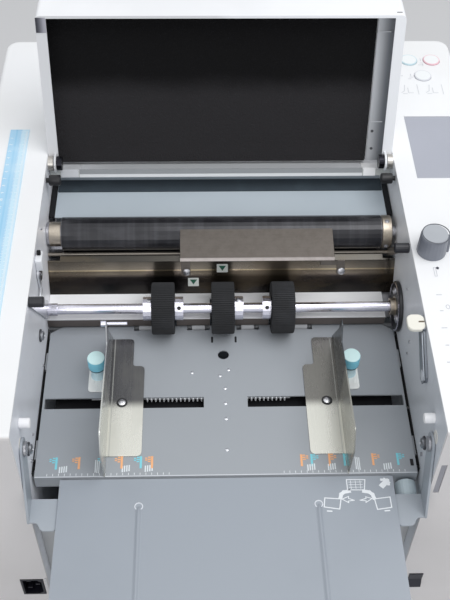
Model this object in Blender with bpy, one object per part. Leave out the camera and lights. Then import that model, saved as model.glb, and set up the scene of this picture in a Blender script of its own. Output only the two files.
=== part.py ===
"""Desk paper folding machine with its hood open. Metres, +Z up.

Paper moves along +Y: feed table, feed rollers, four fold rollers, two fold plates,
chute and exit tray. X = 0 is the paper's centre line and Y = 0 the feed table's front
edge while the pieces are drawn. The empty called machine then moves the whole part so
that its origin is at the middle of its footprint, on the desk.
"""

import math

import bpy
import bmesh
from mathutils import Matrix, Vector

# General
GAP = 0.0003              # between pieces that touch
RUNNING = 0.0003          # radial clearance of shafts in their holes
OVERRUN = 0.004           # how far cutters pass the face that they cut
MERGE = 0.0000005         # vertices closer than this are one
ROUND_SIDES = 24
SMALL_SIDES = 16
SHARP_ANGLE = math.radians(32)

# Body
TABLE_TOP = 0.276         # height of the paper table above the desk
HOUSING_RISE = 0.1095      # of the housings above the table
FRAME_INNER = 0.1725      # half the distance between the side frames
FRAME_THICK = 0.002
LEFT_OUTER = 0.235
RIGHT_OUTER = 0.260
BODY_FRONT = -0.029
BODY_REAR = 0.497
SHELL_WALL = 0.0025
SHELL_CORNER = 0.014
SHELL_EDGE_ROUND = 0.004
SHELL_BOTTOM = 0.0146

FOOT_RADIUS = 0.018
FOOT_HEIGHT = 0.014
FOOT_INSET = 0.045
BASE_THICK = 0.002

# Fold rollers
ROLLER_RADIUS = 0.0165
NIP_GAP = 0.0006
ROLLER_END_ROOM = 0.0155   # from a roller's rubber to the frame
ROLLER_1_BEHIND_FEED = 0.0665
ROLLER_1_ABOVE_TABLE = 0.064
NIP_1_ANGLE = math.radians(20)
NIP_2_ANGLE = math.radians(3.6)
NIP_3_ANGLE = math.radians(12)
JOURNAL_RADIUS = 0.006
BUSH_RADIUS = 0.0115
RIGHT_BUSH_LENGTH = 0.0085
JOURNAL_LEFT_PAST = 0.0145  # past the frame's outer face
JOURNAL_RIGHT_PAST = 0.0035
DRIVEN_JOURNAL_PAST = 0.0225

GEAR_TEETH = 24
GEAR_ADDENDUM = 0.0013
GEAR_DEDENDUM = 0.0016
GEAR_TIP_HALF = 0.00045
GEAR_ROOT_HALF = 0.0013
GEAR_STANDOFF = 0.0025     # from the frame's outer face
GEAR_WIDTH = 0.008

# Drive
MOTOR_BEFORE_REAR = 0.097
MOTOR_BELOW_TABLE = 0.150
MOTOR_RADIUS = 0.031
MOTOR_LENGTH = 0.0872
MOTOR_FLANGE_RADIUS = 0.040
MOTOR_FLANGE_THICK = 0.002
MOTOR_BORE_DEPTH = 0.032
MOTOR_SHAFT_RADIUS = 0.003
MOTOR_SHAFT_LENGTH = 0.030
MOTOR_SHAFT_PAST = 0.0215
ROLLER_PULLEY_RADIUS = 0.020
MOTOR_PULLEY_RADIUS = 0.012
PULLEY_FLANGE = 0.002
PULLEY_FLANGE_THICK = 0.0013
BELT_THICK = 0.002
BELT_STANDOFF = 0.0101
BELT_WIDTH = 0.0088

# Feed shaft and rollers
FEED_ABOVE_TABLE = 0.027
FEED_SHAFT_RADIUS = 0.005
FEED_SHAFT_PAST = 0.0015
FEED_HUB_RADIUS = 0.006
FEED_HUB_INSET = 0.0027
FEED_HUB_LENGTH = 0.0093
FEED_ROLLER_RADIUS = 0.0255
FEED_ROLLER_WIDTH = 0.022
FEED_ROLLER_PITCH = 0.058
FEED_RIBS = 36
FEED_RIB_DEPTH = 0.0011
COLLAR_RADIUS = 0.0115
COLLAR_WIDTH = 0.0082
CLUTCH_RADIUS = 0.025
CLUTCH_WIDTH = 0.0092

# Idler shaft
IDLER_BEHIND_FEED = 0.002
IDLER_BELOW_TABLE = 0.0045
IDLER_SHAFT_RADIUS = 0.0025
IDLER_RADIUS = 0.0056
IDLER_WIDTH = 0.0135
IDLER_PLACES = (-0.0765, -0.024, 0.025, 0.078)
CROSS_SHAFT_SHORT = 0.0005  # inside the frame's outer face

# Feed table
TABLE_SIDE_GAP = 0.0025
TABLE_LENGTH = 0.1715
TABLE_THICK = 0.0015
TABLE_CORNER_X = 0.012
TABLE_CORNER_Y = 0.008
TABLE_SKIRT = 0.012
TABLE_SKIRT_LENGTH = 0.150
TABLE_FRONT_SKIRT = 0.015
SLOT_INNER_LEFT = 0.0195
SLOT_INNER_RIGHT = 0.0215
SLOT_EDGE = 0.002          # between a slot and the table's side
SLOT_WIDTH = 0.012
SLOT_Y = 0.079
NOTCH_DEPTH = 0.0058
NOTCH_CLEAR = 0.0045
TABLE_HOLE_RADIUS = 0.0055
TABLE_HOLE_Y = 0.1346
TABLE_LUG_LENGTH = 0.020
TABLE_LUG_PLACES = (0.020, 0.120)
TAB_WIDTH = 0.020
TAB_DROP = 0.022

# Racks and pinion
PINION_Y = 0.0775
PINION_TEETH = 12
PINION_PITCH_RADIUS = 0.0075
RACK_ADDENDUM = 0.00125
RACK_DEDENDUM = 0.0016
RACK_TIP_HALF = 0.00045
RACK_ROOT_HALF = 0.0011
PINION_TIP_HALF = 0.0004
PINION_ROOT_HALF = 0.00095
RACK_THICK = 0.004
RACK_BACK = 0.0064        # depth of the bar behind the teeth
RACK_OUTER_END = 0.125
RACK_INNER_END = 0.062
RACK_FIRST_TOOTH = -19
RACK_LAST_TOOTH = 14
RACK_LUG_X = 0.095
RACK_LUG_WIDTH = 0.008
RACK_LUG_PAST = 0.0035
RAIL_WIDTH = 0.0037
RAIL_DROP = 0.0065
RAIL_LIP = 0.0033
RAIL_LIP_THICK = 0.0019
RAIL_HALF_LENGTH = 0.150
PINION_STUD_RADIUS = 0.0025
PINION_STUD_HEAD = 0.0045

# Side guides
GUIDE_FACE_X = 0.1075
GUIDE_SHEET = 0.0012
GUIDE_LIFT = 0.0003
GUIDE_BASE_WIDTH = 0.0315
GUIDE_NECK_WIDTH = 0.0205
GUIDE_FRONT = 0.0205
GUIDE_NECK_START = 0.1165
GUIDE_NECK_END = 0.124
GUIDE_REAR_SHORT = 0.0175
FENCE_HEIGHT = 0.065
FENCE_OUTLINE_SHARES = ((0.0, 0.046), (-0.032, 0.646), (0.039, 0.954), (0.39, 0.862),
                        (0.714, 0.769), (0.766, 1.0), (0.805, 1.0), (0.831, 0.738),
                        (1.0, 0.062), (1.0, 0.006), (0.0, 0.006))
FLAP_OUTER = 0.1285
FLAP_FRONT = 0.0914
FLAP_REAR = 0.120
KNOB_X = 0.1198
KNOB_Y = 0.1105
KNOB_RADIUS = 0.0082
KNOB_HEIGHT = 0.0272
KNOB_STEM_RADIUS = 0.002
KNOB_EDGE = 0.001
BOSS_RADIUS = 0.003

# Plates around the paper path
GUIDE_PLATE_BEFORE_FEED = 0.002
GUIDE_PLATE_ABOVE_TABLE = 0.014
GUIDE_PLATE_THICK = 0.0012
GUIDE_PLATE_LIP = 0.011
GUIDE_PLATE_SHORT = 0.0115
GUIDE_PLATE_BRIDGE = 0.007
GUIDE_PLATE_CUT_HALF = 0.0125
CROSS_PLATE_BOTTOM_BEFORE = 0.0357  # before the first fold roller's axis
CROSS_PLATE_TOP_BEFORE = 0.0215
CROSS_PLATE_BOTTOM = 0.013
CROSS_PLATE_TOP = 0.046
CROSS_PLATE_THICK = 0.0015
CROSS_LIP_BEFORE = 0.016
CROSS_LIP_TOP = 0.0485
CROSS_LIP_SHORT = 0.0125
SENSOR_LEFT = 0.041
SENSOR_RIGHT = 0.1075
SENSOR_FRONT_BEFORE = 0.043
SENSOR_REAR_BEFORE = 0.011
SENSOR_FRONT_TOP = 0.0735
SENSOR_REAR_TOP = 0.080
SENSOR_LIP = 0.003
SENSOR_LIP_LEAN = 0.0012
SENSOR_THICK = 0.001
SENSOR_FOOT_WIDTH = 0.010
SENSOR_FOOT_SHIFT = 0.017
SENSOR_FOOT_LENGTH = 0.015
LOWER_GUIDE_THICK = 0.0012
LOWER_GUIDE_BEFORE = (0.056, 0.040, 0.022, 0.010, 0.007)
LOWER_GUIDE_RISE = (-0.002, 0.001, 0.014, 0.030, 0.036)

# Fold plates
FOLD_PLATE_SHORT = 0.0065
FOLD_PLATE_EDGE = 0.004
UPPER_PLATE_BEHIND = 0.026  # behind the first fold roller's axis
UPPER_PLATE_PROUD = 0.008   # past the body's rear
UPPER_PLATE_THICK = 0.018
UPPER_PLATE_WALL = 0.0015
FOLD_SLOT = 0.005
UPPER_LIP_DEPTH = 0.0085
UPPER_LIP_THICK = 0.0012
LOWER_PLATE_BEHIND = 0.029
LOWER_PLATE_DEPTH = 0.010
LOWER_PLATE_TOP = 0.012
LOWER_PLATE_LENGTH = 0.212
PLATE_LUG = 0.010
UPPER_LUG_FROM_FRONT = 0.026
UPPER_LUG_FROM_REAR = 0.035
LOWER_LUG_DROPS = (0.060, 0.180)

# Rear cover, chute and exit tray
FRONT_COVER_Y = -0.012
FRONT_COVER_THICK = 0.002
FRONT_COVER_DROP = 0.060
REAR_COVER_INSET = 0.0045
REAR_COVER_THICK = 0.0015
REAR_COVER_DROP = 0.032
CHUTE_REAR_RUN = 0.0125
CHUTE_REAR_DROP = 0.028
CHUTE_BEHIND = 0.071
CHUTE_FRONT_RISE = 0.010
TRAY_PIVOT_PROUD = 0.0015
TRAY_PIVOT_DROP = 0.038
TRAY_LUG_INSET = 0.022
TRAY_LUG_WIDTH = 0.006
TRAY_LUG_RADIUS = 0.005
TRAY_PIN_RADIUS = 0.0015
TRAY_BARREL_RADIUS = 0.003
TRAY_LENGTH = 0.1515
TRAY_THICK = 0.0015
TRAY_LIP = 0.010

# Hood
HOOD_PIVOT_BEHIND = 0.059   # behind the first fold roller's axis
HOOD_PIVOT_RISE = 0.104
HOOD_SIDE_GAP = 0.0005
HOOD_REACH = 0.147
HOOD_LEAN = 0.008          # the front skirt's top ahead of its mouth
HOOD_BACK = 0.018
HOOD_MOUTH = 0.005
HOOD_TOP = 0.035
HOOD_WALL = 0.0025
HOOD_ROUND = 0.0035
HOOD_FLANGE_THICK = 0.0015
HOOD_SIDE_FLANGE = 0.010
HOOD_REAR_FLANGE = 0.0065
HOOD_OPEN_ANGLE = math.radians(105)
EAR_INSET = 0.009
EAR_THICK = 0.002
EAR_RADIUS = 0.009
FOAM_LEFT_SHORT = 0.006
FOAM_RIGHT_SHORT = 0.022
FOAM_END_SHORT = 0.005
FOAM_THICK = 0.008
HINGE_RIVET_RADIUS = 0.0025
HINGE_SPACER_RADIUS = 0.007
HINGE_PIN_RADIUS = 0.004
HINGE_HEAD_GAP = 0.0004
HINGE_HEAD_LENGTH = 0.0051
HINGE_RELIEF = 0.0006      # round the spacer and the head in the hood's flange

# Extension table
EXTENSION_SHORT = 0.0255
EXTENSION_LENGTH = 0.2385
EXTENSION_GAP = 0.0025
EXTENSION_THICK = 0.0015
EXTENSION_SKIRT = 0.012
ARM_PIVOT_Y = -0.007
ARM_PIVOT_RISE = 0.0585
ARM_INSET = 0.0025
ARM_THICK = 0.002
ARM_ROUND = 0.010
ARM_FOOT_AHEAD = 0.036      # ahead of the arm's pivot
ARM_FOOT_LENGTH = 0.023
ARM_LOBE = 0.005
ARM_FOOT_DROP = 0.0038
ARM_PIN_RADIUS = 0.004
ARM_HEAD_RADIUS = 0.0065
ARM_HEAD_THICK = 0.002

# Levers
SIDE_LEVER_Y = 0.050
SIDE_LEVER_RISE = 0.078
SIDE_LEVER_REACH = 0.036
SIDE_LEVER_TIP_UP = 0.0245
SIDE_LEVER_INSET = 0.0023
SIDE_LEVER_THICK = 0.002
SIDE_LEVER_HUB = 0.007
SIDE_LEVER_END = 0.004
SIDE_STUD_RADIUS = 0.003
SIDE_STUD_HEAD = 0.005
SIDE_STUD_HEAD_THICK = 0.0015
TAB_DEPTH = 0.016
TAB_LENGTH = 0.0142
TAB_THICK = 0.002
LIFT_TIP_AHEAD = 0.057
LIFT_TIP_UP = 0.0777
LIFT_INSET = 0.0004
LIFT_THICK = 0.0018
LIFT_HUB = 0.009
LIFT_END = 0.0045
GRIP_RADIUS = 0.0048
GRIP_LENGTH = 0.0131
RELEASE_BEFORE = 0.011
RELEASE_RISE = 0.046
RELEASE_ROD_RADIUS = 0.002
RELEASE_TIP_AHEAD = 0.0474
RELEASE_TIP_UP = 0.0552
RELEASE_ARM_INSET = 0.0065
RELEASE_ARM_THICK = 0.002
RELEASE_HUB = 0.0038
RELEASE_END = 0.0035

# Controls
SKEW_INSET = 0.010         # from the table's side
SKEW_DROP = 0.014
SKEW_RADIUS = 0.0093
SKEW_LENGTH = 0.027
SKEW_GAP = 0.003
SKEW_SHAFT_RADIUS = 0.003
SKEW_SHAFT_END = 0.018
DIAL_INSET = 0.070         # from the right housing's outer side
DIAL_FROM_FRONT = 0.197
DIAL_RADIUS = 0.0135
DIAL_HEIGHT = 0.022
DIAL_POINTER = 0.004
DIAL_SHAFT_RADIUS = 0.003
DIAL_SHAFT_DROP = 0.008
BUTTON_RADIUS = 0.0092
BUTTON_RISE = 0.0015
BUTTON_FLANGE = 0.0017
BUTTON_FLANGE_THICK = 0.0022
BUTTON_SKIRT = 0.001
START_INSET = 0.049
START_FROM_REAR = 0.0393
STOP_INSET = 0.024
STOP_FROM_REAR = 0.0394
CLEAR_INSET = 0.0377
CLEAR_FROM_REAR = 0.0676
PANEL_WIDTH = 0.058
PANEL_INSET = 0.010
PANEL_LENGTH = 0.095
PANEL_FROM_REAR = 0.136
PANEL_SUNK = 0.0004
PANEL_FLANGE = 0.002
PANEL_THICK = 0.0022
ROCKER_FROM_FRAME = 0.0075
ROCKER_WIDTH = 0.014
ROCKER_DROP = 0.153
ROCKER_HOLE_HEIGHT = 0.025
ROCKER_BEHIND_FACE = 0.005
ROCKER_REACH = 0.0075
ROCKER_HALF_HEIGHT = 0.011
ROCKER_BACK = 0.003
ROCKER_DISH = 0.002
ROCKER_TILT = math.radians(-8)
VENT_FROM_FRAME = 0.0035
VENT_WIDTH = 0.005
VENT_BOTTOM = 0.015
VENT_TOP = 0.060
INLET_FROM_FRAME = 0.0155
INLET_DROP = 0.156
INLET_WIDTH = 0.022
INLET_HEIGHT = 0.032
INLET_PROUD = 0.0006
INLET_LENGTH = 0.0246
INLET_WALL = 0.002
INLET_CHAMFER = 0.004
INLET_DEPTH = 0.015
INLET_FLANGE = 0.002
INLET_FLANGE_THICK = 0.0017
INLET_PIN_WIDTH = 0.002
INLET_PIN_HEIGHT = 0.004
INLET_PIN_LENGTH = 0.012
INLET_PIN_SPREAD = 0.007
INLET_PIN_SHIFT = 0.004

# Places worked out from the sizes above
HOUSING_TOP = TABLE_TOP + HOUSING_RISE
FRAME_OUTER = FRAME_INNER + FRAME_THICK
COVER_HALF = FRAME_INNER - GAP
CROSS_SHAFT_END = FRAME_OUTER - CROSS_SHAFT_SHORT
FEED_Y = TABLE_LENGTH
FEED_SHAFT_HALF = FRAME_OUTER + FEED_SHAFT_PAST
FEED_HUB_OUTER = FRAME_INNER - FEED_HUB_INSET
CLUTCH_INNER_X = COVER_HALF - CLUTCH_WIDTH
IDLER_Y = FEED_Y + IDLER_BEHIND_FEED
ROLLER_HALF_LENGTH = FRAME_INNER - ROLLER_END_ROOM
ROLLER_1_Y = FEED_Y + ROLLER_1_BEHIND_FEED
JOURNAL_LEFT_END = FRAME_OUTER + JOURNAL_LEFT_PAST
JOURNAL_RIGHT_END = FRAME_OUTER + JOURNAL_RIGHT_PAST
DRIVEN_JOURNAL_END = FRAME_OUTER + DRIVEN_JOURNAL_PAST
GEAR_INNER_X = FRAME_OUTER + GEAR_STANDOFF
GEAR_OUTER_X = GEAR_INNER_X + GEAR_WIDTH
MOTOR_Y = BODY_REAR - MOTOR_BEFORE_REAR
MOTOR_INNER_X = COVER_HALF - MOTOR_LENGTH
MOTOR_SHAFT_END = FRAME_OUTER + MOTOR_SHAFT_PAST
BELT_INNER_X = FRAME_OUTER + BELT_STANDOFF
TABLE_HALF_WIDTH = FRAME_INNER - TABLE_SIDE_GAP
SLOT_OUTER = TABLE_HALF_WIDTH - SLOT_EDGE
GUIDE_REAR = TABLE_LENGTH - GUIDE_REAR_SHORT
CROSS_PLATE_BOTTOM_Y = ROLLER_1_Y - CROSS_PLATE_BOTTOM_BEFORE
CROSS_PLATE_TOP_Y = ROLLER_1_Y - CROSS_PLATE_TOP_BEFORE
CROSS_LIP_Y = ROLLER_1_Y - CROSS_LIP_BEFORE
CROSS_LIP_HALF = FRAME_INNER - CROSS_LIP_SHORT
GUIDE_PLATE_FRONT = FEED_Y - GUIDE_PLATE_BEFORE_FEED
GUIDE_PLATE_REAR = CROSS_PLATE_BOTTOM_Y - GAP
GUIDE_PLATE_RIGHT = FRAME_INNER - GUIDE_PLATE_SHORT
GUIDE_PLATE_CUT_REAR = GUIDE_PLATE_REAR - GUIDE_PLATE_BRIDGE
SENSOR_FRONT = ROLLER_1_Y - SENSOR_FRONT_BEFORE
SENSOR_REAR = ROLLER_1_Y - SENSOR_REAR_BEFORE
LOWER_GUIDE_Y = tuple(ROLLER_1_Y - before for before in LOWER_GUIDE_BEFORE)
FOLD_PLATE_HALF_WIDTH = FRAME_INNER - FOLD_PLATE_SHORT
FOLD_SLOT_HALF_WIDTH = FOLD_PLATE_HALF_WIDTH - FOLD_PLATE_EDGE
UPPER_PLATE_FRONT = ROLLER_1_Y + UPPER_PLATE_BEHIND
UPPER_PLATE_REAR = BODY_REAR + UPPER_PLATE_PROUD
UPPER_LUG_PLACES = (UPPER_PLATE_FRONT + UPPER_LUG_FROM_FRONT, UPPER_PLATE_REAR - UPPER_LUG_FROM_REAR)
LOWER_PLATE_Y = ROLLER_1_Y + LOWER_PLATE_BEHIND
REAR_COVER_Y = BODY_REAR - REAR_COVER_INSET
CHUTE_REAR_Y = REAR_COVER_Y - CHUTE_REAR_RUN
CHUTE_FRONT_Y = ROLLER_1_Y + CHUTE_BEHIND
TRAY_PIVOT_Y = BODY_REAR + TRAY_PIVOT_PROUD
TRAY_LUG_INNER = FRAME_INNER - TRAY_LUG_INSET
TRAY_REAR = TRAY_PIVOT_Y + TRAY_LENGTH
HOOD_PIVOT_Y = ROLLER_1_Y + HOOD_PIVOT_BEHIND
HOOD_HALF_WIDTH = FRAME_INNER - HOOD_SIDE_GAP
EAR_INNER = FRAME_INNER - EAR_INSET
FOAM_LEFT = HOOD_HALF_WIDTH - FOAM_LEFT_SHORT
FOAM_RIGHT = HOOD_HALF_WIDTH - FOAM_RIGHT_SHORT
FOAM_FRONT = HOOD_REACH - FOAM_END_SHORT
FOAM_BACK = HOOD_BACK - FOAM_END_SHORT
HINGE_SPACER_X = EAR_INNER + EAR_THICK + GAP
HINGE_HEAD_X = EAR_INNER - HINGE_HEAD_GAP
HINGE_HEAD_END = HINGE_HEAD_X - HINGE_HEAD_LENGTH
EXTENSION_HALF_WIDTH = FRAME_INNER - EXTENSION_SHORT
EXTENSION_REAR = -EXTENSION_GAP
EXTENSION_FRONT = EXTENSION_REAR - EXTENSION_LENGTH
ARM_INNER_X = FRAME_INNER - ARM_INSET
ARM_FOOT_FRONT = ARM_PIVOT_Y - ARM_FOOT_AHEAD
ARM_FOOT_REAR = ARM_FOOT_FRONT + ARM_FOOT_LENGTH
SIDE_LEVER_TIP_Y = SIDE_LEVER_Y + SIDE_LEVER_REACH
SIDE_LEVER_TIP_RISE = SIDE_LEVER_RISE + SIDE_LEVER_TIP_UP
SIDE_LEVER_INNER_X = FRAME_INNER - SIDE_LEVER_INSET
LIFT_TIP_Y = FEED_Y - LIFT_TIP_AHEAD
LIFT_TIP_RISE = FEED_ABOVE_TABLE + LIFT_TIP_UP
LIFT_OUTER_X = FRAME_INNER - LIFT_INSET
RELEASE_Y = ROLLER_1_Y - RELEASE_BEFORE
RELEASE_TIP_Y = RELEASE_Y - RELEASE_TIP_AHEAD
RELEASE_TIP_RISE = RELEASE_RISE + RELEASE_TIP_UP
RELEASE_ARM_INNER = FRAME_INNER - RELEASE_ARM_INSET
SKEW_X = TABLE_HALF_WIDTH - SKEW_INSET
SKEW_REAR = -SKEW_GAP
SKEW_FRONT = SKEW_REAR - SKEW_LENGTH
DIAL_X = RIGHT_OUTER - DIAL_INSET
DIAL_Y = BODY_FRONT + DIAL_FROM_FRONT
START_X, START_Y = RIGHT_OUTER - START_INSET, BODY_REAR - START_FROM_REAR
STOP_X, STOP_Y = RIGHT_OUTER - STOP_INSET, BODY_REAR - STOP_FROM_REAR
CLEAR_X, CLEAR_Y = RIGHT_OUTER - CLEAR_INSET, BODY_REAR - CLEAR_FROM_REAR
PANEL_RIGHT = RIGHT_OUTER - PANEL_INSET
PANEL_LEFT = PANEL_RIGHT - PANEL_WIDTH
PANEL_REAR = BODY_REAR - PANEL_FROM_REAR
PANEL_FRONT = PANEL_REAR - PANEL_LENGTH
ROCKER_LEFT = FRAME_INNER + ROCKER_FROM_FRAME
ROCKER_RIGHT = ROCKER_LEFT + ROCKER_WIDTH
ROCKER_Y = BODY_FRONT + ROCKER_BEHIND_FACE
VENT_LEFT = FRAME_INNER + VENT_FROM_FRAME
VENT_RIGHT = VENT_LEFT + VENT_WIDTH
INLET_X = -(FRAME_INNER + INLET_FROM_FRAME)
INLET_REAR = BODY_FRONT - INLET_PROUD + INLET_LENGTH
NIP_DISTANCE = 2 * ROLLER_RADIUS + NIP_GAP


def next_roller(place, angle_from_x):
    """Centre (Y, Z) of the roller that touches the one at place, in the given direction."""
    return (place[0] + NIP_DISTANCE * math.cos(angle_from_x),
            place[1] + NIP_DISTANCE * math.sin(angle_from_x))


QUARTER = math.pi / 2
ROLLER_1 = (ROLLER_1_Y, TABLE_TOP + ROLLER_1_ABOVE_TABLE)
ROLLER_2 = next_roller(ROLLER_1, NIP_1_ANGLE - QUARTER)
ROLLER_3 = next_roller(ROLLER_2, NIP_2_ANGLE)
ROLLER_4 = next_roller(ROLLER_3, NIP_3_ANGLE - QUARTER)
ROLLERS = (ROLLER_1, ROLLER_2, ROLLER_3, ROLLER_4)
LINE_ANGLES = (NIP_1_ANGLE - QUARTER, NIP_2_ANGLE, NIP_3_ANGLE - QUARTER)
MOTOR_AXIS = (MOTOR_Y, TABLE_TOP - MOTOR_BELOW_TABLE)
FEED_AXIS = (FEED_Y, TABLE_TOP + FEED_ABOVE_TABLE)
IDLER_AXIS = (IDLER_Y, TABLE_TOP - IDLER_BELOW_TABLE)
RELEASE_AXIS = (RELEASE_Y, TABLE_TOP + RELEASE_RISE)
HOOD_AXIS = (HOOD_PIVOT_Y, TABLE_TOP + HOOD_PIVOT_RISE)
ARM_AXIS = (ARM_PIVOT_Y, TABLE_TOP + ARM_PIVOT_RISE)
SIDE_LEVER_AXIS = (SIDE_LEVER_Y, TABLE_TOP + SIDE_LEVER_RISE)
TRAY_AXIS = (TRAY_PIVOT_Y, TABLE_TOP - TRAY_PIVOT_DROP)
UPPER_PLATE_BOTTOM = ROLLER_3[1] + ROLLER_RADIUS + GAP
SHELL_INNER_FRONT = BODY_FRONT + SHELL_WALL + GAP
SHELL_INNER_REAR = BODY_REAR - SHELL_WALL - GAP
BASE_BOTTOM = FOOT_HEIGHT + GAP
BASE_TOP = BASE_BOTTOM + BASE_THICK
RACK_PITCH = math.tau * PINION_PITCH_RADIUS / PINION_TEETH

# Finishes: colour, roughness, metallic
WHITE = ((0.86, 0.87, 0.88), 0.45, 0.0)
GREY_PAINT = ((0.62, 0.66, 0.70), 0.40, 0.3)
PALE_BLUE = ((0.70, 0.74, 0.80), 0.45, 0.1)
STEEL = ((0.66, 0.65, 0.63), 0.28, 1.0)
BRIGHT_STEEL = ((0.78, 0.78, 0.77), 0.20, 1.0)
DARK_STEEL = ((0.34, 0.31, 0.28), 0.30, 1.0)
BLACK = ((0.03, 0.03, 0.035), 0.50, 0.0)
RUBBER = ((0.035, 0.034, 0.034), 0.80, 0.0)
ROLLER_COAT = ((0.10, 0.095, 0.09), 0.60, 0.0)
FOAM = ((0.06, 0.06, 0.06), 0.95, 0.0)
CYAN = ((0.10, 0.62, 0.70), 0.40, 0.0)
CREAM = ((0.83, 0.80, 0.70), 0.50, 0.0)
MID_GREY = ((0.48, 0.49, 0.50), 0.50, 0.0)
PANEL_GREY = ((0.55, 0.57, 0.59), 0.35, 0.0)
RED = ((0.80, 0.24, 0.28), 0.40, 0.0)
MOTOR_GREY = ((0.22, 0.23, 0.24), 0.50, 0.5)
NYLON = ((0.82, 0.81, 0.77), 0.50, 0.0)


# Shape helpers
def point_on(axis, pair, along):
    """A 3D point from its place along an axis and its two other coordinates."""
    first, second = pair
    return {"X": (along, first, second), "Y": (first, along, second),
            "Z": (first, second, along)}[axis]


def mesh_of(points, faces):
    mesh = bpy.data.meshes.new("shape")
    mesh.from_pydata(points, [], faces)
    work = bmesh.new()
    work.from_mesh(mesh)
    bmesh.ops.recalc_face_normals(work, faces=work.faces)
    work.to_mesh(mesh)
    work.free()
    return mesh


def rings_to_mesh(rings, closed_loop=False):
    """Skin over rings of equal length, capped at both ends unless they form a loop."""
    count = len(rings[0])
    points = [point for ring in rings for point in ring]
    faces = []
    total = len(rings)
    for r in range(total if closed_loop else total - 1):
        here, there = r * count, ((r + 1) % total) * count
        for k in range(count):
            nxt = (k + 1) % count
            faces.append((here + k, here + nxt, there + nxt, there + k))
    if not closed_loop:
        faces.append(tuple(range(count)))
        faces.append(tuple(range((total - 1) * count, total * count)))
    return mesh_of(points, faces)


def prism(outline, axis, low, high):
    """An outline pushed straight along an axis."""
    return rings_to_mesh([[point_on(axis, pair, low) for pair in outline],
                          [point_on(axis, pair, high) for pair in outline]])


def box(x, y, z):
    corners = [(x[0], y[0]), (x[1], y[0]), (x[1], y[1]), (x[0], y[1])]
    return prism(corners, "Z", z[0], z[1])


def circle(centre, radius, sides):
    return [(centre[0] + radius * math.cos(math.tau * (k + 0.5) / sides),
             centre[1] + radius * math.sin(math.tau * (k + 0.5) / sides))
            for k in range(sides)]


def turned(profile, axis, centre, sides=ROUND_SIDES, closed_loop=False):
    """Solid of revolution. Profile pairs are the place along the axis and the radius."""
    rings = [[point_on(axis, pair, along) for pair in circle(centre, radius, sides)]
             for along, radius in profile]
    return rings_to_mesh(rings, closed_loop)


def tube(axis, centre, outer, inner, low, high, sides=ROUND_SIDES):
    profile = [(low, inner), (low, outer), (high, outer), (high, inner)]
    return turned(profile, axis, centre, sides, closed_loop=True)


def boolean(base, tools, operation):
    """Join a mesh with each of the tool meshes in turn, or cut it with them."""
    body = bpy.data.objects.new("working_body", base)
    bpy.context.scene.collection.objects.link(body)
    helpers = []
    for tool in tools:
        helper = bpy.data.objects.new("working_tool", tool)
        bpy.context.scene.collection.objects.link(helper)
        modifier = body.modifiers.new("shape", "BOOLEAN")
        modifier.operation = operation
        modifier.solver = "EXACT"
        modifier.object = helper
        helpers.append(helper)
    bpy.context.view_layer.update()
    graph = bpy.context.evaluated_depsgraph_get()
    result = bpy.data.meshes.new_from_object(body.evaluated_get(graph))
    for item in [body] + helpers:
        bpy.data.objects.remove(item)
    work = bmesh.new()
    work.from_mesh(result)
    bmesh.ops.remove_doubles(work, verts=work.verts, dist=MERGE)
    bmesh.ops.dissolve_degenerate(work, edges=work.edges, dist=MERGE)
    work.to_mesh(result)
    work.free()
    return result


def union(base, *tools):
    return boolean(base, tools, "UNION")


def cut(base, *tools):
    return boolean(base, tools, "DIFFERENCE")


def bores(axis, centres, radius, low, high, sides=ROUND_SIDES):
    """Cutters for round holes of one radius."""
    return [turned([(low, radius), (high, radius)], axis, centre, sides)
            for centre in centres]


def strip_outline(path, thick, side):
    """Outline of a bent sheet: the path, then the path offset to its left (side 1)
    or to its right (side -1)."""
    normals = []
    for start, end in zip(path, path[1:]):
        run, rise = end[0] - start[0], end[1] - start[1]
        length = math.hypot(run, rise)
        normals.append((-rise / length * side, run / length * side))
    offset = []
    for k, place in enumerate(path):
        before = normals[max(k - 1, 0)]
        after = normals[min(k, len(normals) - 1)]
        scale = 1 + before[0] * after[0] + before[1] * after[1]
        offset.append((place[0] + thick * (before[0] + after[0]) / scale,
                       place[1] + thick * (before[1] + after[1]) / scale))
    return list(path) + offset[::-1]


def capsule(start, end, start_radius, end_radius, steps=7):
    """Outline of a lever: two round ends and straight sides between them."""
    run, rise = end[0] - start[0], end[1] - start[1]
    length = math.hypot(run, rise)
    heading = math.atan2(rise, run)
    lean = math.acos((start_radius - end_radius) / length)
    outline = []
    for centre, radius, first, last in (
            (start, start_radius, heading + lean, heading + math.tau - lean),
            (end, end_radius, heading - lean, heading + lean)):
        for k in range(steps + 1):
            angle = first + (last - first) * k / steps
            outline.append((centre[0] + radius * math.cos(angle),
                            centre[1] + radius * math.sin(angle)))
    return outline


def rounded_rectangle(x, y, radii, steps=4):
    """Corners in the order low-low, high-low, high-high, low-high."""
    corners = ((x[0], y[0], 1, 1), (x[1], y[0], -1, 1), (x[1], y[1], -1, -1), (x[0], y[1], 1, -1))
    outline = []
    for quarter, ((cx, cy, dx, dy), radius) in enumerate(zip(corners, radii)):
        if radius <= 0:
            outline.append((cx, cy))
            continue
        for k in range(steps + 1):
            angle = math.pi + quarter * QUARTER + QUARTER * k / steps
            outline.append((cx + dx * radius + radius * math.cos(angle),
                            cy + dy * radius + radius * math.sin(angle)))
    return outline


def gear_outline(centre, teeth, pitch_radius, addendum, dedendum, tip_half, root_half, turn):
    """Plain teeth with straight flanks. One tooth points in the direction turn."""
    outline = []
    tip, root = pitch_radius + addendum, pitch_radius - dedendum
    for k in range(teeth):
        middle = turn + math.tau * k / teeth
        for radius, half, sign in ((root, root_half, -1), (tip, tip_half, -1),
                                   (tip, tip_half, 1), (root, root_half, 1)):
            angle = middle + sign * math.asin(half / radius)
            outline.append((centre[0] + radius * math.cos(angle),
                            centre[1] + radius * math.sin(angle)))
    return outline


MACHINE = None


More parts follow.
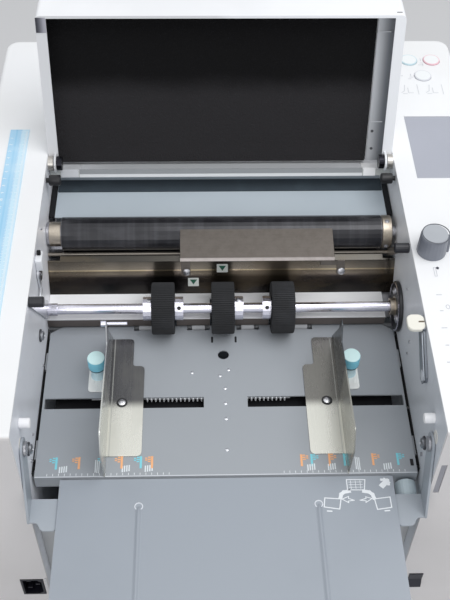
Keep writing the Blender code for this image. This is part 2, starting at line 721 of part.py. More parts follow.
def place(name, mesh, finish, pivot=(0, 0, 0), turn=(0, 0, 0)):
    """Make the named object with its own material and its origin at the pivot."""
    colour, roughness, metallic = finish
    material = bpy.data.materials.new(name)
    material.use_nodes = True
    shader = material.node_tree.nodes["Principled BSDF"]
    shader.inputs["Base Color"].default_value = (*colour, 1)
    shader.inputs["Roughness"].default_value = roughness
    shader.inputs["Metallic"].default_value = metallic
    mesh.transform(Matrix.Translation(-Vector(pivot)))
    mesh.name = name
    mesh.materials.clear()
    mesh.materials.append(material)
    mesh.shade_smooth()
    mesh.set_sharp_from_angle(angle=SHARP_ANGLE)
    item = bpy.data.objects.new(name, mesh)
    item.location = pivot
    item.rotation_euler = turn
    item.parent = MACHINE
    bpy.context.scene.collection.objects.link(item)
    return item


def on_x(axis_place):
    """The pivot of a piece that turns about an axis along X."""
    return (0, axis_place[0], axis_place[1])


def sides(side, inner, outer):
    """An X span on the left (side -1) or the right (side 1), low value first."""
    return tuple(sorted((side * inner, side * outer)))


# Body
def make_base():
    corner = SHELL_CORNER - SHELL_WALL - GAP
    outline = rounded_rectangle(
        (-(LEFT_OUTER - SHELL_WALL - GAP), RIGHT_OUTER - SHELL_WALL - GAP),
        (SHELL_INNER_FRONT, SHELL_INNER_REAR), (corner,) * 4)
    place("base_plate", prism(outline, "Z", BASE_BOTTOM, BASE_TOP), GREY_PAINT)
    for name, x in (("left", -(LEFT_OUTER - FOOT_INSET)), ("right", RIGHT_OUTER - FOOT_INSET)):
        for end, y in (("front", BODY_FRONT + FOOT_INSET), ("rear", BODY_REAR - FOOT_INSET)):
            profile = [(0, FOOT_RADIUS * 0.94), (FOOT_HEIGHT * 0.12, FOOT_RADIUS),
                       (FOOT_HEIGHT, FOOT_RADIUS * 0.86)]
            place(f"foot_{end}_{name}", turned(profile, "Z", (x, y)), RUBBER)


def make_frames():
    """Upright steel plates that carry every shaft, with their riveted studs."""
    middle = FRAME_INNER + FRAME_THICK / 2
    for side, name in ((-1, "left"), (1, "right")):
        plate = box(sides(side, FRAME_INNER, FRAME_INNER + FRAME_THICK),
                    (SHELL_INNER_FRONT, SHELL_INNER_REAR),
                    (BASE_TOP + GAP, HOUSING_TOP - SHELL_WALL - GAP))
        through = sides(side, FRAME_INNER - OVERRUN, FRAME_INNER + FRAME_THICK + OVERRUN)
        holes = bores("X", ROLLERS, JOURNAL_RADIUS + RUNNING, *through)
        holes += bores("X", [FEED_AXIS], FEED_SHAFT_RADIUS + RUNNING, *through)
        holes += bores("X", [RELEASE_AXIS], RELEASE_ROD_RADIUS + RUNNING, *through)
        holes += bores("X", [IDLER_AXIS], IDLER_SHAFT_RADIUS + RUNNING, *through)
        if side > 0:
            holes += bores("X", [MOTOR_AXIS], MOTOR_SHAFT_RADIUS + RUNNING, *through)
        hinge = [(side * x, radius) for x, radius in (
            (middle, HINGE_RIVET_RADIUS), (COVER_HALF, HINGE_RIVET_RADIUS),
            (COVER_HALF, HINGE_SPACER_RADIUS), (HINGE_SPACER_X, HINGE_SPACER_RADIUS),
            (HINGE_SPACER_X, HINGE_PIN_RADIUS), (HINGE_HEAD_X, HINGE_PIN_RADIUS),
            (HINGE_HEAD_X, HINGE_SPACER_RADIUS), (HINGE_HEAD_END, HINGE_SPACER_RADIUS))]
        arm_head = ARM_INNER_X - GAP
        arm = [(side * x, radius) for x, radius in (
            (middle, ARM_PIN_RADIUS), (arm_head, ARM_PIN_RADIUS), (arm_head, ARM_HEAD_RADIUS),
            (arm_head - ARM_HEAD_THICK, ARM_HEAD_RADIUS))]
        studs = [turned(hinge, "X", HOOD_AXIS), turned(arm, "X", ARM_AXIS)]
        if side > 0:
            head = SIDE_LEVER_INNER_X - GAP
            profile = [(middle, SIDE_STUD_RADIUS), (head, SIDE_STUD_RADIUS),
                       (head, SIDE_STUD_HEAD), (head - SIDE_STUD_HEAD_THICK, SIDE_STUD_HEAD)]
            studs.append(turned(profile, "X", SIDE_LEVER_AXIS, SMALL_SIDES))
        place(f"{name}_frame", union(cut(plate, *holes), *studs), GREY_PAINT)


def shell(inner_x, outer_x, side):
    """Moulded housing, open below and towards the frame."""
    steps = 3

    def outline(inset):
        x = sorted((side * inner_x, side * (outer_x - inset)))
        radius = SHELL_CORNER - inset
        radii = (radius, 0, 0, radius) if side < 0 else (0, radius, radius, 0)
        return rounded_rectangle(x, (BODY_FRONT + inset, BODY_REAR - inset), radii)

    rings = [[(x, y, SHELL_BOTTOM) for x, y in outline(0)]]
    for k in range(steps + 1):
        angle = QUARTER * k / steps
        inset = SHELL_EDGE_ROUND * (1 - math.cos(angle))
        z = HOUSING_TOP - SHELL_EDGE_ROUND * (1 - math.sin(angle))
        rings.append([(x, y, z) for x, y in outline(inset)])
    outer = rings_to_mesh(rings)
    corner = SHELL_CORNER - SHELL_WALL
    x = sorted((side * (inner_x - OVERRUN), side * (outer_x - SHELL_WALL)))
    radii = (corner, 0, 0, corner) if side < 0 else (0, corner, corner, 0)
    room = prism(rounded_rectangle(x, (BODY_FRONT + SHELL_WALL, BODY_REAR - SHELL_WALL), radii),
                 "Z", SHELL_BOTTOM - OVERRUN, HOUSING_TOP - SHELL_WALL)
    return cut(outer, room)


def front_hole(x, z):
    return box(x, (BODY_FRONT - OVERRUN, BODY_FRONT + SHELL_WALL + OVERRUN), z)


def make_housings():
    left = shell(FRAME_INNER, LEFT_OUTER, -1)
    half_w, half_h = INLET_WIDTH / 2 + GAP, INLET_HEIGHT / 2 + GAP
    inlet_z = TABLE_TOP - INLET_DROP
    left = cut(left, front_hole((INLET_X - half_w, INLET_X + half_w),
                                (inlet_z - half_h, inlet_z + half_h)))
    place("left_housing", left, WHITE)

    through = (HOUSING_TOP - SHELL_WALL - OVERRUN, HOUSING_TOP + OVERRUN)
    rocker_z = TABLE_TOP - ROCKER_DROP
    tools = [
        front_hole((ROCKER_LEFT, ROCKER_RIGHT),
                   (rocker_z - ROCKER_HOLE_HEIGHT / 2, rocker_z + ROCKER_HOLE_HEIGHT / 2)),
        front_hole((VENT_LEFT, VENT_RIGHT), (TABLE_TOP + VENT_BOTTOM, TABLE_TOP + VENT_TOP)),
        box((PANEL_LEFT, PANEL_RIGHT), (PANEL_FRONT, PANEL_REAR), through)]
    tools += bores("Z", [(START_X, START_Y), (STOP_X, STOP_Y), (CLEAR_X, CLEAR_Y)],
                   BUTTON_RADIUS + RUNNING, *through)
    tools += bores("Z", [(DIAL_X, DIAL_Y)], DIAL_SHAFT_RADIUS + RUNNING, *through, SMALL_SIDES)
    place("right_housing", cut(shell(FRAME_INNER, RIGHT_OUTER, 1), *tools), WHITE)


def make_covers():
    front = box((-COVER_HALF, COVER_HALF), (FRONT_COVER_Y, FRONT_COVER_Y + FRONT_COVER_THICK),
                (BASE_TOP + GAP, TABLE_TOP - FRONT_COVER_DROP))
    place("front_cover", front, GREY_PAINT)

    path = [(REAR_COVER_Y, BASE_TOP + GAP), (REAR_COVER_Y, TABLE_TOP - REAR_COVER_DROP),
            (CHUTE_REAR_Y, TABLE_TOP - CHUTE_REAR_DROP), (CHUTE_FRONT_Y, TABLE_TOP + CHUTE_FRONT_RISE)]
    sheet = prism(strip_outline(path, REAR_COVER_THICK, -1), "X", -COVER_HALF, COVER_HALF)
    lugs = []
    for side in (-1, 1):
        span = sides(side, TRAY_LUG_INNER, TRAY_LUG_INNER + TRAY_LUG_WIDTH)
        ear = capsule((REAR_COVER_Y + REAR_COVER_THICK / 2, TRAY_AXIS[1]), TRAY_AXIS,
                      TRAY_LUG_RADIUS, TRAY_LUG_RADIUS)
        ear = cut(prism([(max(y, REAR_COVER_Y + REAR_COVER_THICK / 2), z) for y, z in ear], "X", *span),
                  *bores("X", [TRAY_AXIS], TRAY_PIN_RADIUS + RUNNING,
                         span[0] - OVERRUN, span[1] + OVERRUN, SMALL_SIDES))
        lugs.append(ear)
    place("rear_cover", union(sheet, *lugs), GREY_PAINT)


# Feed table
def make_feed_table():
    rear = TABLE_LENGTH
    edge = [(TABLE_HALF_WIDTH, 0), (TABLE_HALF_WIDTH, rear - TABLE_CORNER_Y),
            (TABLE_HALF_WIDTH - TABLE_CORNER_X, rear)]
    for middle in sorted(IDLER_PLACES, reverse=True):
        half = IDLER_WIDTH / 2 + NOTCH_CLEAR
        edge += [(middle + half, rear), (middle + half, rear - NOTCH_DEPTH),
                 (middle - half, rear - NOTCH_DEPTH), (middle - half, rear)]
    edge += [(-(TABLE_HALF_WIDTH - TABLE_CORNER_X), rear),
             (-TABLE_HALF_WIDTH, rear - TABLE_CORNER_Y), (-TABLE_HALF_WIDTH, 0)]
    under = TABLE_TOP - TABLE_THICK
    top = prism(edge, "Z", under, TABLE_TOP)

    # One closed skirt round the front and the sides, with a tab for the skew knob's shaft.
    half, wall = TABLE_HALF_WIDTH, TABLE_THICK
    inside = under + TABLE_THICK / 2
    parts = [box((-half, half), (0, wall), (TABLE_TOP - TABLE_FRONT_SKIRT, inside)),
             box((half - TAB_WIDTH, half), (0, wall), (TABLE_TOP - TAB_DROP, inside))]
    for side in (-1, 1):
        parts.append(box(sides(side, half - wall, half), (wall / 2, TABLE_SKIRT_LENGTH),
                         (TABLE_TOP - TABLE_SKIRT, inside)))
        for lug_y in TABLE_LUG_PLACES:
            parts.append(box(sides(side, half - wall / 2, COVER_HALF),
                             (lug_y, lug_y + TABLE_LUG_LENGTH),
                             (TABLE_TOP - TABLE_SKIRT, under)))

    # Rails under the table that hold the racks, and the pinion's stud.
    rail_z = (under - RAIL_DROP, inside)
    lip_z = (under - RAIL_DROP, under - RAIL_DROP + RAIL_LIP_THICK)
    for side in (-1, 1):
        face = PINION_Y + side * (PINION_PITCH_RADIUS + RACK_DEDENDUM + RACK_BACK + GAP)
        outer = face + side * RAIL_WIDTH
        parts.append(box((-RAIL_HALF_LENGTH, RAIL_HALF_LENGTH), sorted((face, outer)), rail_z))
        parts.append(box((-RAIL_HALF_LENGTH, RAIL_HALF_LENGTH),
                         sorted((face - side * RAIL_LIP, face + side * RAIL_WIDTH / 2)), lip_z))
    stud = [(under - RAIL_DROP, PINION_STUD_HEAD), (under - RAIL_DROP + RAIL_LIP_THICK, PINION_STUD_HEAD),
            (under - RAIL_DROP + RAIL_LIP_THICK, PINION_STUD_RADIUS), (inside, PINION_STUD_RADIUS)]
    parts.append(turned(stud, "Z", (0, PINION_Y), SMALL_SIDES))
    table = union(top, *parts)

    through = (under - OVERRUN, TABLE_TOP + OVERRUN)
    slot_y = (SLOT_Y - SLOT_WIDTH / 2, SLOT_Y + SLOT_WIDTH / 2)
    slot_z = (under - TABLE_THICK / 2, TABLE_TOP + OVERRUN)
    tools = [box((-SLOT_OUTER, -SLOT_INNER_LEFT), slot_y, slot_z),
             box((SLOT_INNER_RIGHT, SLOT_OUTER), slot_y, slot_z)]
    tools += bores("Z", [(0, TABLE_HOLE_Y)], TABLE_HOLE_RADIUS, *through, SMALL_SIDES)
    tools += bores("Y", [(SKEW_X, TABLE_TOP - SKEW_DROP)], SKEW_SHAFT_RADIUS + RUNNING,
                   -OVERRUN, wall + OVERRUN, SMALL_SIDES)
    place("feed_table", cut(table, *tools), GREY_PAINT)


def make_paper_plates():
    """Sheets under and behind the feed rollers, and the sensor cover above them."""
    top = TABLE_TOP + GUIDE_PLATE_ABOVE_TABLE
    sheet_path = [(GUIDE_PLATE_FRONT, top - GUIDE_PLATE_LIP), (GUIDE_PLATE_FRONT, top),
                  (GUIDE_PLATE_REAR, top)]
    plate = prism(strip_outline(sheet_path, GUIDE_PLATE_THICK, -1), "X", -COVER_HALF, GUIDE_PLATE_RIGHT)
    tools = []
    for index in (-1, 0, 1):
        middle = index * FEED_ROLLER_PITCH
        tools.append(box((middle - GUIDE_PLATE_CUT_HALF, middle + GUIDE_PLATE_CUT_HALF),
                         (GUIDE_PLATE_FRONT - OVERRUN, GUIDE_PLATE_CUT_REAR),
                         (top - GUIDE_PLATE_LIP - OVERRUN, top + OVERRUN)))
    place("feed_guide_plate", cut(plate, *tools), BRIGHT_STEEL)

    low = (CROSS_PLATE_BOTTOM_Y, TABLE_TOP + CROSS_PLATE_BOTTOM)
    high = (CROSS_PLATE_TOP_Y, TABLE_TOP + CROSS_PLATE_TOP)
    lip = (CROSS_LIP_Y, TABLE_TOP + CROSS_LIP_TOP)
    cross = prism(strip_outline([low, high, lip], CROSS_PLATE_THICK, -1), "X", -COVER_HALF, COVER_HALF)
    trims = [box(sides(side, CROSS_LIP_HALF, COVER_HALF + OVERRUN),
                 (CROSS_PLATE_TOP_Y + CROSS_PLATE_THICK, CROSS_LIP_Y + OVERRUN),
                 (high[1] - OVERRUN, lip[1] + OVERRUN)) for side in (-1, 1)]
    place("cross_plate", cut(cross, *trims), DARK_STEEL)

    # Sensor cover: sloping top with a front lip, carried by two feet on the cross plate.
    run, rise = high[0] - low[0], high[1] - low[1]
    length = math.hypot(run, rise)
    along = (run / length, rise / length)
    seat = (high[0] - GAP * length / rise, high[1])
    slope = (SENSOR_REAR_TOP - SENSOR_FRONT_TOP) / (SENSOR_REAR - SENSOR_FRONT)
    under = TABLE_TOP + SENSOR_FRONT_TOP + slope * (seat[0] - SENSOR_FRONT) - SENSOR_THICK / 2
    roof_path = [(SENSOR_FRONT - SENSOR_LIP_LEAN, TABLE_TOP + SENSOR_FRONT_TOP - SENSOR_LIP),
                 (SENSOR_FRONT, TABLE_TOP + SENSOR_FRONT_TOP),
                 (SENSOR_REAR, TABLE_TOP + SENSOR_REAR_TOP)]
    roof = prism(strip_outline(roof_path, SENSOR_THICK, -1), "X", -SENSOR_LEFT, SENSOR_RIGHT)
    foot_path = [(seat[0], under), seat, (seat[0] - SENSOR_FOOT_LENGTH * along[0],
                                          seat[1] - SENSOR_FOOT_LENGTH * along[1])]
    foot = strip_outline(foot_path, SENSOR_THICK, -1)
    feet = [prism(foot, "X", -SENSOR_LEFT, -SENSOR_LEFT + SENSOR_FOOT_WIDTH),
            prism(foot, "X", SENSOR_RIGHT - SENSOR_FOOT_WIDTH / 2,
                  SENSOR_RIGHT + SENSOR_FOOT_SHIFT)]
    place("sensor_cover", union(roof, *feet), STEEL)

    path = [(y, TABLE_TOP + rise) for y, rise in zip(LOWER_GUIDE_Y, LOWER_GUIDE_RISE)]
    lower = prism(strip_outline(path, LOWER_GUIDE_THICK, -1), "X", -COVER_HALF, COVER_HALF)
    place("lower_paper_guide", lower, STEEL)


def make_fold_plates():
    half, slot_half = FOLD_PLATE_HALF_WIDTH, FOLD_SLOT_HALF_WIDTH
    low, high = UPPER_PLATE_BOTTOM, UPPER_PLATE_BOTTOM + UPPER_PLATE_THICK
    block = box((-half, half), (UPPER_PLATE_FRONT, UPPER_PLATE_REAR), (low, high))
    parts = [box((-half, half), (UPPER_PLATE_FRONT - UPPER_LIP_DEPTH, UPPER_PLATE_FRONT + UPPER_LIP_DEPTH),
                 (high - UPPER_LIP_THICK, high))]
    middle = (low + high) / 2
    for side in (-1, 1):
        for lug_y in UPPER_LUG_PLACES:
            parts.append(box(sides(side, half - PLATE_LUG / 4, COVER_HALF),
                             (lug_y - PLATE_LUG / 2, lug_y + PLATE_LUG / 2),
                             (middle - PLATE_LUG / 2, middle + PLATE_LUG / 2)))
    slot = box((-slot_half, slot_half), (UPPER_PLATE_FRONT - OVERRUN, UPPER_PLATE_REAR + OVERRUN),
               (low + UPPER_PLATE_WALL, low + UPPER_PLATE_WALL + FOLD_SLOT))
    place("upper_fold_plate", cut(union(block, *parts), slot), PALE_BLUE)

    top = TABLE_TOP + LOWER_PLATE_TOP
    bottom = top - LOWER_PLATE_LENGTH
    block = box((-half, half), (LOWER_PLATE_Y - LOWER_PLATE_DEPTH / 2, LOWER_PLATE_Y + LOWER_PLATE_DEPTH / 2),
                (bottom, top))
    parts = []
    for side in (-1, 1):
        for drop in LOWER_LUG_DROPS:
            parts.append(box(sides(side, half - PLATE_LUG / 4, COVER_HALF),
                             (LOWER_PLATE_Y - PLATE_LUG / 4, LOWER_PLATE_Y + PLATE_LUG / 4),
                             (top - drop - PLATE_LUG / 2, top - drop + PLATE_LUG / 2)))
    slot = box((-slot_half, slot_half), (LOWER_PLATE_Y - FOLD_SLOT / 2, LOWER_PLATE_Y + FOLD_SLOT / 2),
               (bottom - OVERRUN, top + OVERRUN))
    place("lower_fold_plate", cut(union(block, *parts), slot), PALE_BLUE)


# Drive
def belt_outline(offset):
    """Loop round both pulleys at a given distance outside their faces."""
    big, small = ROLLER_PULLEY_RADIUS + offset, MOTOR_PULLEY_RADIUS + offset
    return capsule(ROLLER_2, MOTOR_AXIS, big, small, steps=12)


def make_drive():
    flange_x = COVER_HALF - MOTOR_FLANGE_THICK
    profile = [(MOTOR_INNER_X, MOTOR_RADIUS * 0.8), (MOTOR_INNER_X + MOTOR_RADIUS * 0.2, MOTOR_RADIUS),
               (flange_x, MOTOR_RADIUS), (flange_x, MOTOR_FLANGE_RADIUS), (COVER_HALF, MOTOR_FLANGE_RADIUS)]
    motor = cut(turned(profile, "X", MOTOR_AXIS),
                *bores("X", [MOTOR_AXIS], MOTOR_SHAFT_RADIUS + RUNNING,
                       COVER_HALF - MOTOR_BORE_DEPTH, COVER_HALF + OVERRUN))
    place("drive_motor", motor, MOTOR_GREY, on_x(MOTOR_AXIS))

    span = (BELT_INNER_X, BELT_INNER_X + BELT_WIDTH)
    belt = cut(prism(belt_outline(GAP + BELT_THICK), "X", *span),
               prism(belt_outline(GAP), "X", span[0] - OVERRUN, span[1] + OVERRUN))
    place("drive_belt", belt, RUBBER)

    def pulley_profile(radius):
        low, high = span[0] - GAP, span[1] + GAP
        rim = radius + PULLEY_FLANGE
        return [(low - PULLEY_FLANGE_THICK, rim), (low, rim), (low, radius), (high, radius),
                (high, rim), (high + PULLEY_FLANGE_THICK, rim)]

    small = pulley_profile(MOTOR_PULLEY_RADIUS)
    shaft_start = COVER_HALF - MOTOR_SHAFT_LENGTH
    profile = [(shaft_start, MOTOR_SHAFT_RADIUS), (small[0][0], MOTOR_SHAFT_RADIUS)] + small
    profile += [(small[-1][0], MOTOR_SHAFT_RADIUS), (MOTOR_SHAFT_END, MOTOR_SHAFT_RADIUS)]
    place("motor_pulley", turned(profile, "X", MOTOR_AXIS), STEEL, on_x(MOTOR_AXIS))

    big = pulley_profile(ROLLER_PULLEY_RADIUS)
    bore = JOURNAL_RADIUS + RUNNING
    profile = [(big[0][0], bore)] + big + [(big[-1][0], bore)]
    place("roller_pulley", turned(profile, "X", ROLLER_2, closed_loop=True), BLACK, on_x(ROLLER_2))

    clutch = tube("X", FEED_AXIS, CLUTCH_RADIUS, FEED_SHAFT_RADIUS + RUNNING,
                  CLUTCH_INNER_X, COVER_HALF)
    place("feed_clutch", clutch, BLACK, on_x(FEED_AXIS))


def make_fold_rollers():
    turn = 0.0
    for index, centre in enumerate(ROLLERS):
        number = index + 1
        end = DRIVEN_JOURNAL_END if number == 2 else JOURNAL_RIGHT_END
        half = ROLLER_HALF_LENGTH
        profile = [(-JOURNAL_LEFT_END, JOURNAL_RADIUS), (-COVER_HALF, JOURNAL_RADIUS),
                   (-COVER_HALF, BUSH_RADIUS), (-half, BUSH_RADIUS), (-half, ROLLER_RADIUS),
                   (half, ROLLER_RADIUS), (half, BUSH_RADIUS), (half + RIGHT_BUSH_LENGTH, BUSH_RADIUS),
                   (half + RIGHT_BUSH_LENGTH, JOURNAL_RADIUS), (end, JOURNAL_RADIUS)]
        place(f"fold_roller_{number}", turned(profile, "X", centre), ROLLER_COAT, on_x(centre))
        # Each gear starts half a tooth round from the one before, seen along their line.
        if index:
            line = LINE_ANGLES[index - 1]
            turn = 2 * line + math.pi - turn + math.pi / GEAR_TEETH
        outline = gear_outline(centre, GEAR_TEETH, NIP_DISTANCE / 2, GEAR_ADDENDUM, GEAR_DEDENDUM,
                               GEAR_TIP_HALF, GEAR_ROOT_HALF, turn)
        gear = cut(prism(outline, "X", -GEAR_OUTER_X, -GEAR_INNER_X),
                   *bores("X", [centre], JOURNAL_RADIUS + RUNNING,
                          -GEAR_OUTER_X - OVERRUN, -GEAR_INNER_X + OVERRUN))
        place(f"roller_gear_{number}", gear, STEEL, on_x(centre))


def make_feed():
    hub = (FEED_HUB_OUTER - FEED_HUB_LENGTH, FEED_HUB_OUTER)
    half = FEED_ROLLER_WIDTH / 2 + GAP
    radius = FEED_SHAFT_RADIUS
    profile = [(-FEED_SHAFT_HALF, radius), (-hub[1], radius), (-hub[1], FEED_HUB_RADIUS),
               (-hub[0], FEED_HUB_RADIUS), (-hub[0], radius)]
    pitch = FEED_ROLLER_PITCH
    collars = ((-pitch - half - COLLAR_WIDTH, -pitch - half), (-pitch + half, -pitch + half + COLLAR_WIDTH),
               (half, half + COLLAR_WIDTH), (pitch - half - COLLAR_WIDTH, pitch - half))
    for low, high in collars:
        profile += [(low, radius), (low, COLLAR_RADIUS), (high, COLLAR_RADIUS), (high, radius)]
    profile.append((FEED_SHAFT_HALF, radius))
    place("feed_shaft", turned(profile, "X", FEED_AXIS, SMALL_SIDES), STEEL, on_x(FEED_AXIS))

    for index, name in ((-1, "left"), (0, "centre"), (1, "right")):
        middle = index * pitch
        outline = []
        for k in range(2 * FEED_RIBS):
            radius = FEED_ROLLER_RADIUS - (k % 2) * FEED_RIB_DEPTH
            angle = math.tau * k / (2 * FEED_RIBS)
            outline.append((FEED_AXIS[0] + radius * math.cos(angle), FEED_AXIS[1] + radius * math.sin(angle)))
        span = (middle - FEED_ROLLER_WIDTH / 2, middle + FEED_ROLLER_WIDTH / 2)
        roller = cut(prism(outline, "X", *span),
                     *bores("X", [FEED_AXIS], FEED_SHAFT_RADIUS + RUNNING,
                            span[0] - OVERRUN, span[1] + OVERRUN))
        place(f"feed_roller_{name}", roller, RUBBER, on_x(FEED_AXIS))

    profile = [(-CROSS_SHAFT_END, IDLER_SHAFT_RADIUS)]
    for middle in IDLER_PLACES:
        low, high = middle - IDLER_WIDTH / 2, middle + IDLER_WIDTH / 2
        profile += [(low, IDLER_SHAFT_RADIUS), (low, IDLER_RADIUS), (high, IDLER_RADIUS),
                    (high, IDLER_SHAFT_RADIUS)]
    profile.append((CROSS_SHAFT_END, IDLER_SHAFT_RADIUS))
    place("idler_shaft", turned(profile, "X", IDLER_AXIS, SMALL_SIDES), MID_GREY, on_x(IDLER_AXIS))


# Side guides
def make_guides():
    base_low = TABLE_TOP + GUIDE_LIFT
    base_high = base_low + GUIDE_SHEET
    rack_top = TABLE_TOP - TABLE_THICK - GAP
    rack_low = rack_top - RACK_THICK
    for side, name in ((-1, "left"), (1, "right")):
        def at(x):
            return side * x

        def flip(outline):
            return [(at(x), y) for x, y in outline]

        sheet = [(GUIDE_FACE_X + GUIDE_SHEET / 2, GUIDE_FRONT), (GUIDE_FACE_X - GUIDE_BASE_WIDTH, GUIDE_FRONT),
                 (GUIDE_FACE_X - GUIDE_BASE_WIDTH, GUIDE_NECK_START),
                 (GUIDE_FACE_X - GUIDE_NECK_WIDTH, GUIDE_NECK_END),
                 (GUIDE_FACE_X - GUIDE_NECK_WIDTH, GUIDE_REAR), (GUIDE_FACE_X + GUIDE_SHEET / 2, GUIDE_REAR)]
        base = prism(flip(sheet), "Z", base_low, base_high)
        fence = [(GUIDE_REAR * along, TABLE_TOP + FENCE_HEIGHT * up) for along, up in FENCE_OUTLINE_SHARES]
        fence = prism(fence, "X", *sides(side, GUIDE_FACE_X, GUIDE_FACE_X + GUIDE_SHEET))
        flap = box(sides(side, GUIDE_FACE_X + GUIDE_SHEET / 2, FLAP_OUTER), (FLAP_FRONT, FLAP_REAR),
                   (base_low, base_high))
        boss = turned([(rack_top + GAP, BOSS_RADIUS), (base_high - GUIDE_SHEET / 4, BOSS_RADIUS)],
                      "Z", (at(RACK_LUG_X), SLOT_Y), SMALL_SIDES)
        guide = cut(union(base, fence, flap, boss),
                    *bores("Z", [(at(KNOB_X), KNOB_Y)], KNOB_STEM_RADIUS + RUNNING,
                           base_low - OVERRUN, base_high + OVERRUN, SMALL_SIDES))
        place(f"{name}_guide", guide, BRIGHT_STEEL)

        # The left rack lies behind the pinion and the right rack in front of it.
        away = -side
        pitch_y = PINION_Y + away * PINION_PITCH_RADIUS
        tip_y, root_y = pitch_y - away * RACK_ADDENDUM, pitch_y + away * RACK_DEDENDUM
        back_y = root_y + away * RACK_BACK
        outline = [(RACK_OUTER_END, back_y), (RACK_OUTER_END, root_y)]
        lug_x = (RACK_LUG_X + RACK_LUG_WIDTH / 2, RACK_LUG_X - RACK_LUG_WIDTH / 2)
        lug_y = SLOT_Y - away * RACK_LUG_PAST
        outline += [(lug_x[0], root_y), (lug_x[0], lug_y), (lug_x[1], lug_y), (lug_x[1], root_y)]
        for k in range(RACK_FIRST_TOOTH, RACK_LAST_TOOTH + 1):
            middle = -(k + 0.5) * RACK_PITCH
            outline += [(middle + RACK_ROOT_HALF, root_y), (middle + RACK_TIP_HALF, tip_y),
                        (middle - RACK_TIP_HALF, tip_y), (middle - RACK_ROOT_HALF, root_y)]
        outline += [(-RACK_INNER_END, root_y), (-RACK_INNER_END, back_y)]
        place(f"{name}_rack", prism(flip(outline), "Z", rack_low, rack_top), MID_GREY)

        low = base_high + GAP
        profile = [(TABLE_TOP + 2 * GAP, KNOB_STEM_RADIUS), (low, KNOB_STEM_RADIUS), (low, KNOB_RADIUS),
                   (low + KNOB_HEIGHT - KNOB_EDGE, KNOB_RADIUS), (low + KNOB_HEIGHT, KNOB_RADIUS - KNOB_EDGE)]
        place(f"{name}_lock_knob", turned(profile, "Z", (at(KNOB_X), KNOB_Y), SMALL_SIDES), CYAN,
              (at(KNOB_X), KNOB_Y, 0))

    outline = gear_outline((0, PINION_Y), PINION_TEETH, PINION_PITCH_RADIUS, RACK_ADDENDUM, RACK_DEDENDUM,
                           PINION_TIP_HALF, PINION_ROOT_HALF, QUARTER)
    pinion = cut(prism(outline, "Z", rack_low, rack_top),
                 *bores("Z", [(0, PINION_Y)], PINION_STUD_RADIUS + RUNNING,
                        rack_low - OVERRUN, rack_top + OVERRUN, SMALL_SIDES))
    place("pinion", pinion, NYLON, (0, PINION_Y, 0))


# Hood and tables that fold
def make_hood():
    """Drawn closed, then turned open about its hinge. Forward is towards -Y."""
    pivot_y, pivot_z = HOOD_AXIS

    def forward(u):
        return pivot_y - u

    def up(w):
        return pivot_z + w

    half = HOOD_HALF_WIDTH
    rings = []
    steps = 3
    corner = HOOD_ROUND * 1.3

    def reach(w):
        return HOOD_REACH + HOOD_LEAN * (w - HOOD_MOUTH) / (HOOD_TOP - HOOD_MOUTH)

    def ring(inset, w):
        outline = rounded_rectangle((-half + inset, half - inset),
                                    (forward(reach(w)) + inset, forward(-HOOD_BACK) - inset),
                                    (corner - inset,) * 4)
        return [(x, y, up(w)) for x, y in outline]

    rings.append(ring(0, HOOD_MOUTH))
    for k in range(steps + 1):
        angle = QUARTER * k / steps
        rings.append(ring(HOOD_ROUND * (1 - math.cos(angle)),
                          HOOD_TOP - HOOD_ROUND * (1 - math.sin(angle))))
    outer = rings_to_mesh(rings)
    inner_half = half - HOOD_WALL
    above_flange = up(HOOD_MOUTH + HOOD_FLANGE_THICK)
    room = rings_to_mesh([
        [(x, y, up(w)) for x, y in rounded_rectangle(
            (-inner_half, inner_half), (forward(reach(w)) + HOOD_WALL, forward(-HOOD_BACK) - HOOD_WALL),
            (corner - HOOD_WALL,) * 4)]
        for w in (HOOD_MOUTH + HOOD_FLANGE_THICK, HOOD_TOP - HOOD_WALL)])
    mouth = box((-half + HOOD_SIDE_FLANGE, half - HOOD_SIDE_FLANGE),
                (forward(HOOD_REACH) + HOOD_WALL, forward(-HOOD_BACK) - HOOD_REAR_FLANGE),
                (up(HOOD_MOUTH - OVERRUN), above_flange + OVERRUN))
    # The flange is notched round the hinge's spacer and head, and the ears lie between.
    inner_end, outer_end = (EAR_INNER + HINGE_HEAD_X) / 2, (EAR_INNER + EAR_THICK + HINGE_SPACER_X) / 2
    reliefs = []
    for side in (-1, 1):
        for near, far in ((HINGE_HEAD_END - OVERRUN, inner_end), (outer_end, half + OVERRUN)):
            reliefs += bores("X", [HOOD_AXIS], HINGE_SPACER_RADIUS + HINGE_RELIEF, *sides(side, near, far))
    hood = cut(outer, room, mouth, *reliefs)
    ears = []
    for side in (-1, 1):
        span = sides(side, EAR_INNER, EAR_INNER + EAR_THICK)
        ear = capsule(HOOD_AXIS, (pivot_y, up(HOOD_MOUTH)), EAR_RADIUS, EAR_RADIUS - GAP)
        top = up(HOOD_MOUTH + HOOD_FLANGE_THICK / 2)
        ear = [(y, min(z, top)) for y, z in ear]
        ears.append(prism(ear, "X", *span))
    hood = union(hood, *ears)
    holes = bores("X", [HOOD_AXIS], HINGE_PIN_RADIUS + RUNNING, -EAR_INNER - EAR_THICK - OVERRUN / 2,
                  -EAR_INNER + OVERRUN, SMALL_SIDES)
    holes += bores("X", [HOOD_AXIS], HINGE_PIN_RADIUS + RUNNING, EAR_INNER - OVERRUN,
                   EAR_INNER + EAR_THICK + OVERRUN / 2, SMALL_SIDES)
    open_turn = (-HOOD_OPEN_ANGLE, 0, 0)
    place("top_cover", cut(hood, *holes), WHITE, on_x(HOOD_AXIS), open_turn)

    foam_top = up(HOOD_TOP - HOOD_WALL - GAP)
    foam = box((-FOAM_LEFT, FOAM_RIGHT), (forward(FOAM_FRONT), forward(-FOAM_BACK)),
               (foam_top - FOAM_THICK, foam_top))
    place("foam_pad", foam, FOAM, on_x(HOOD_AXIS), open_turn)


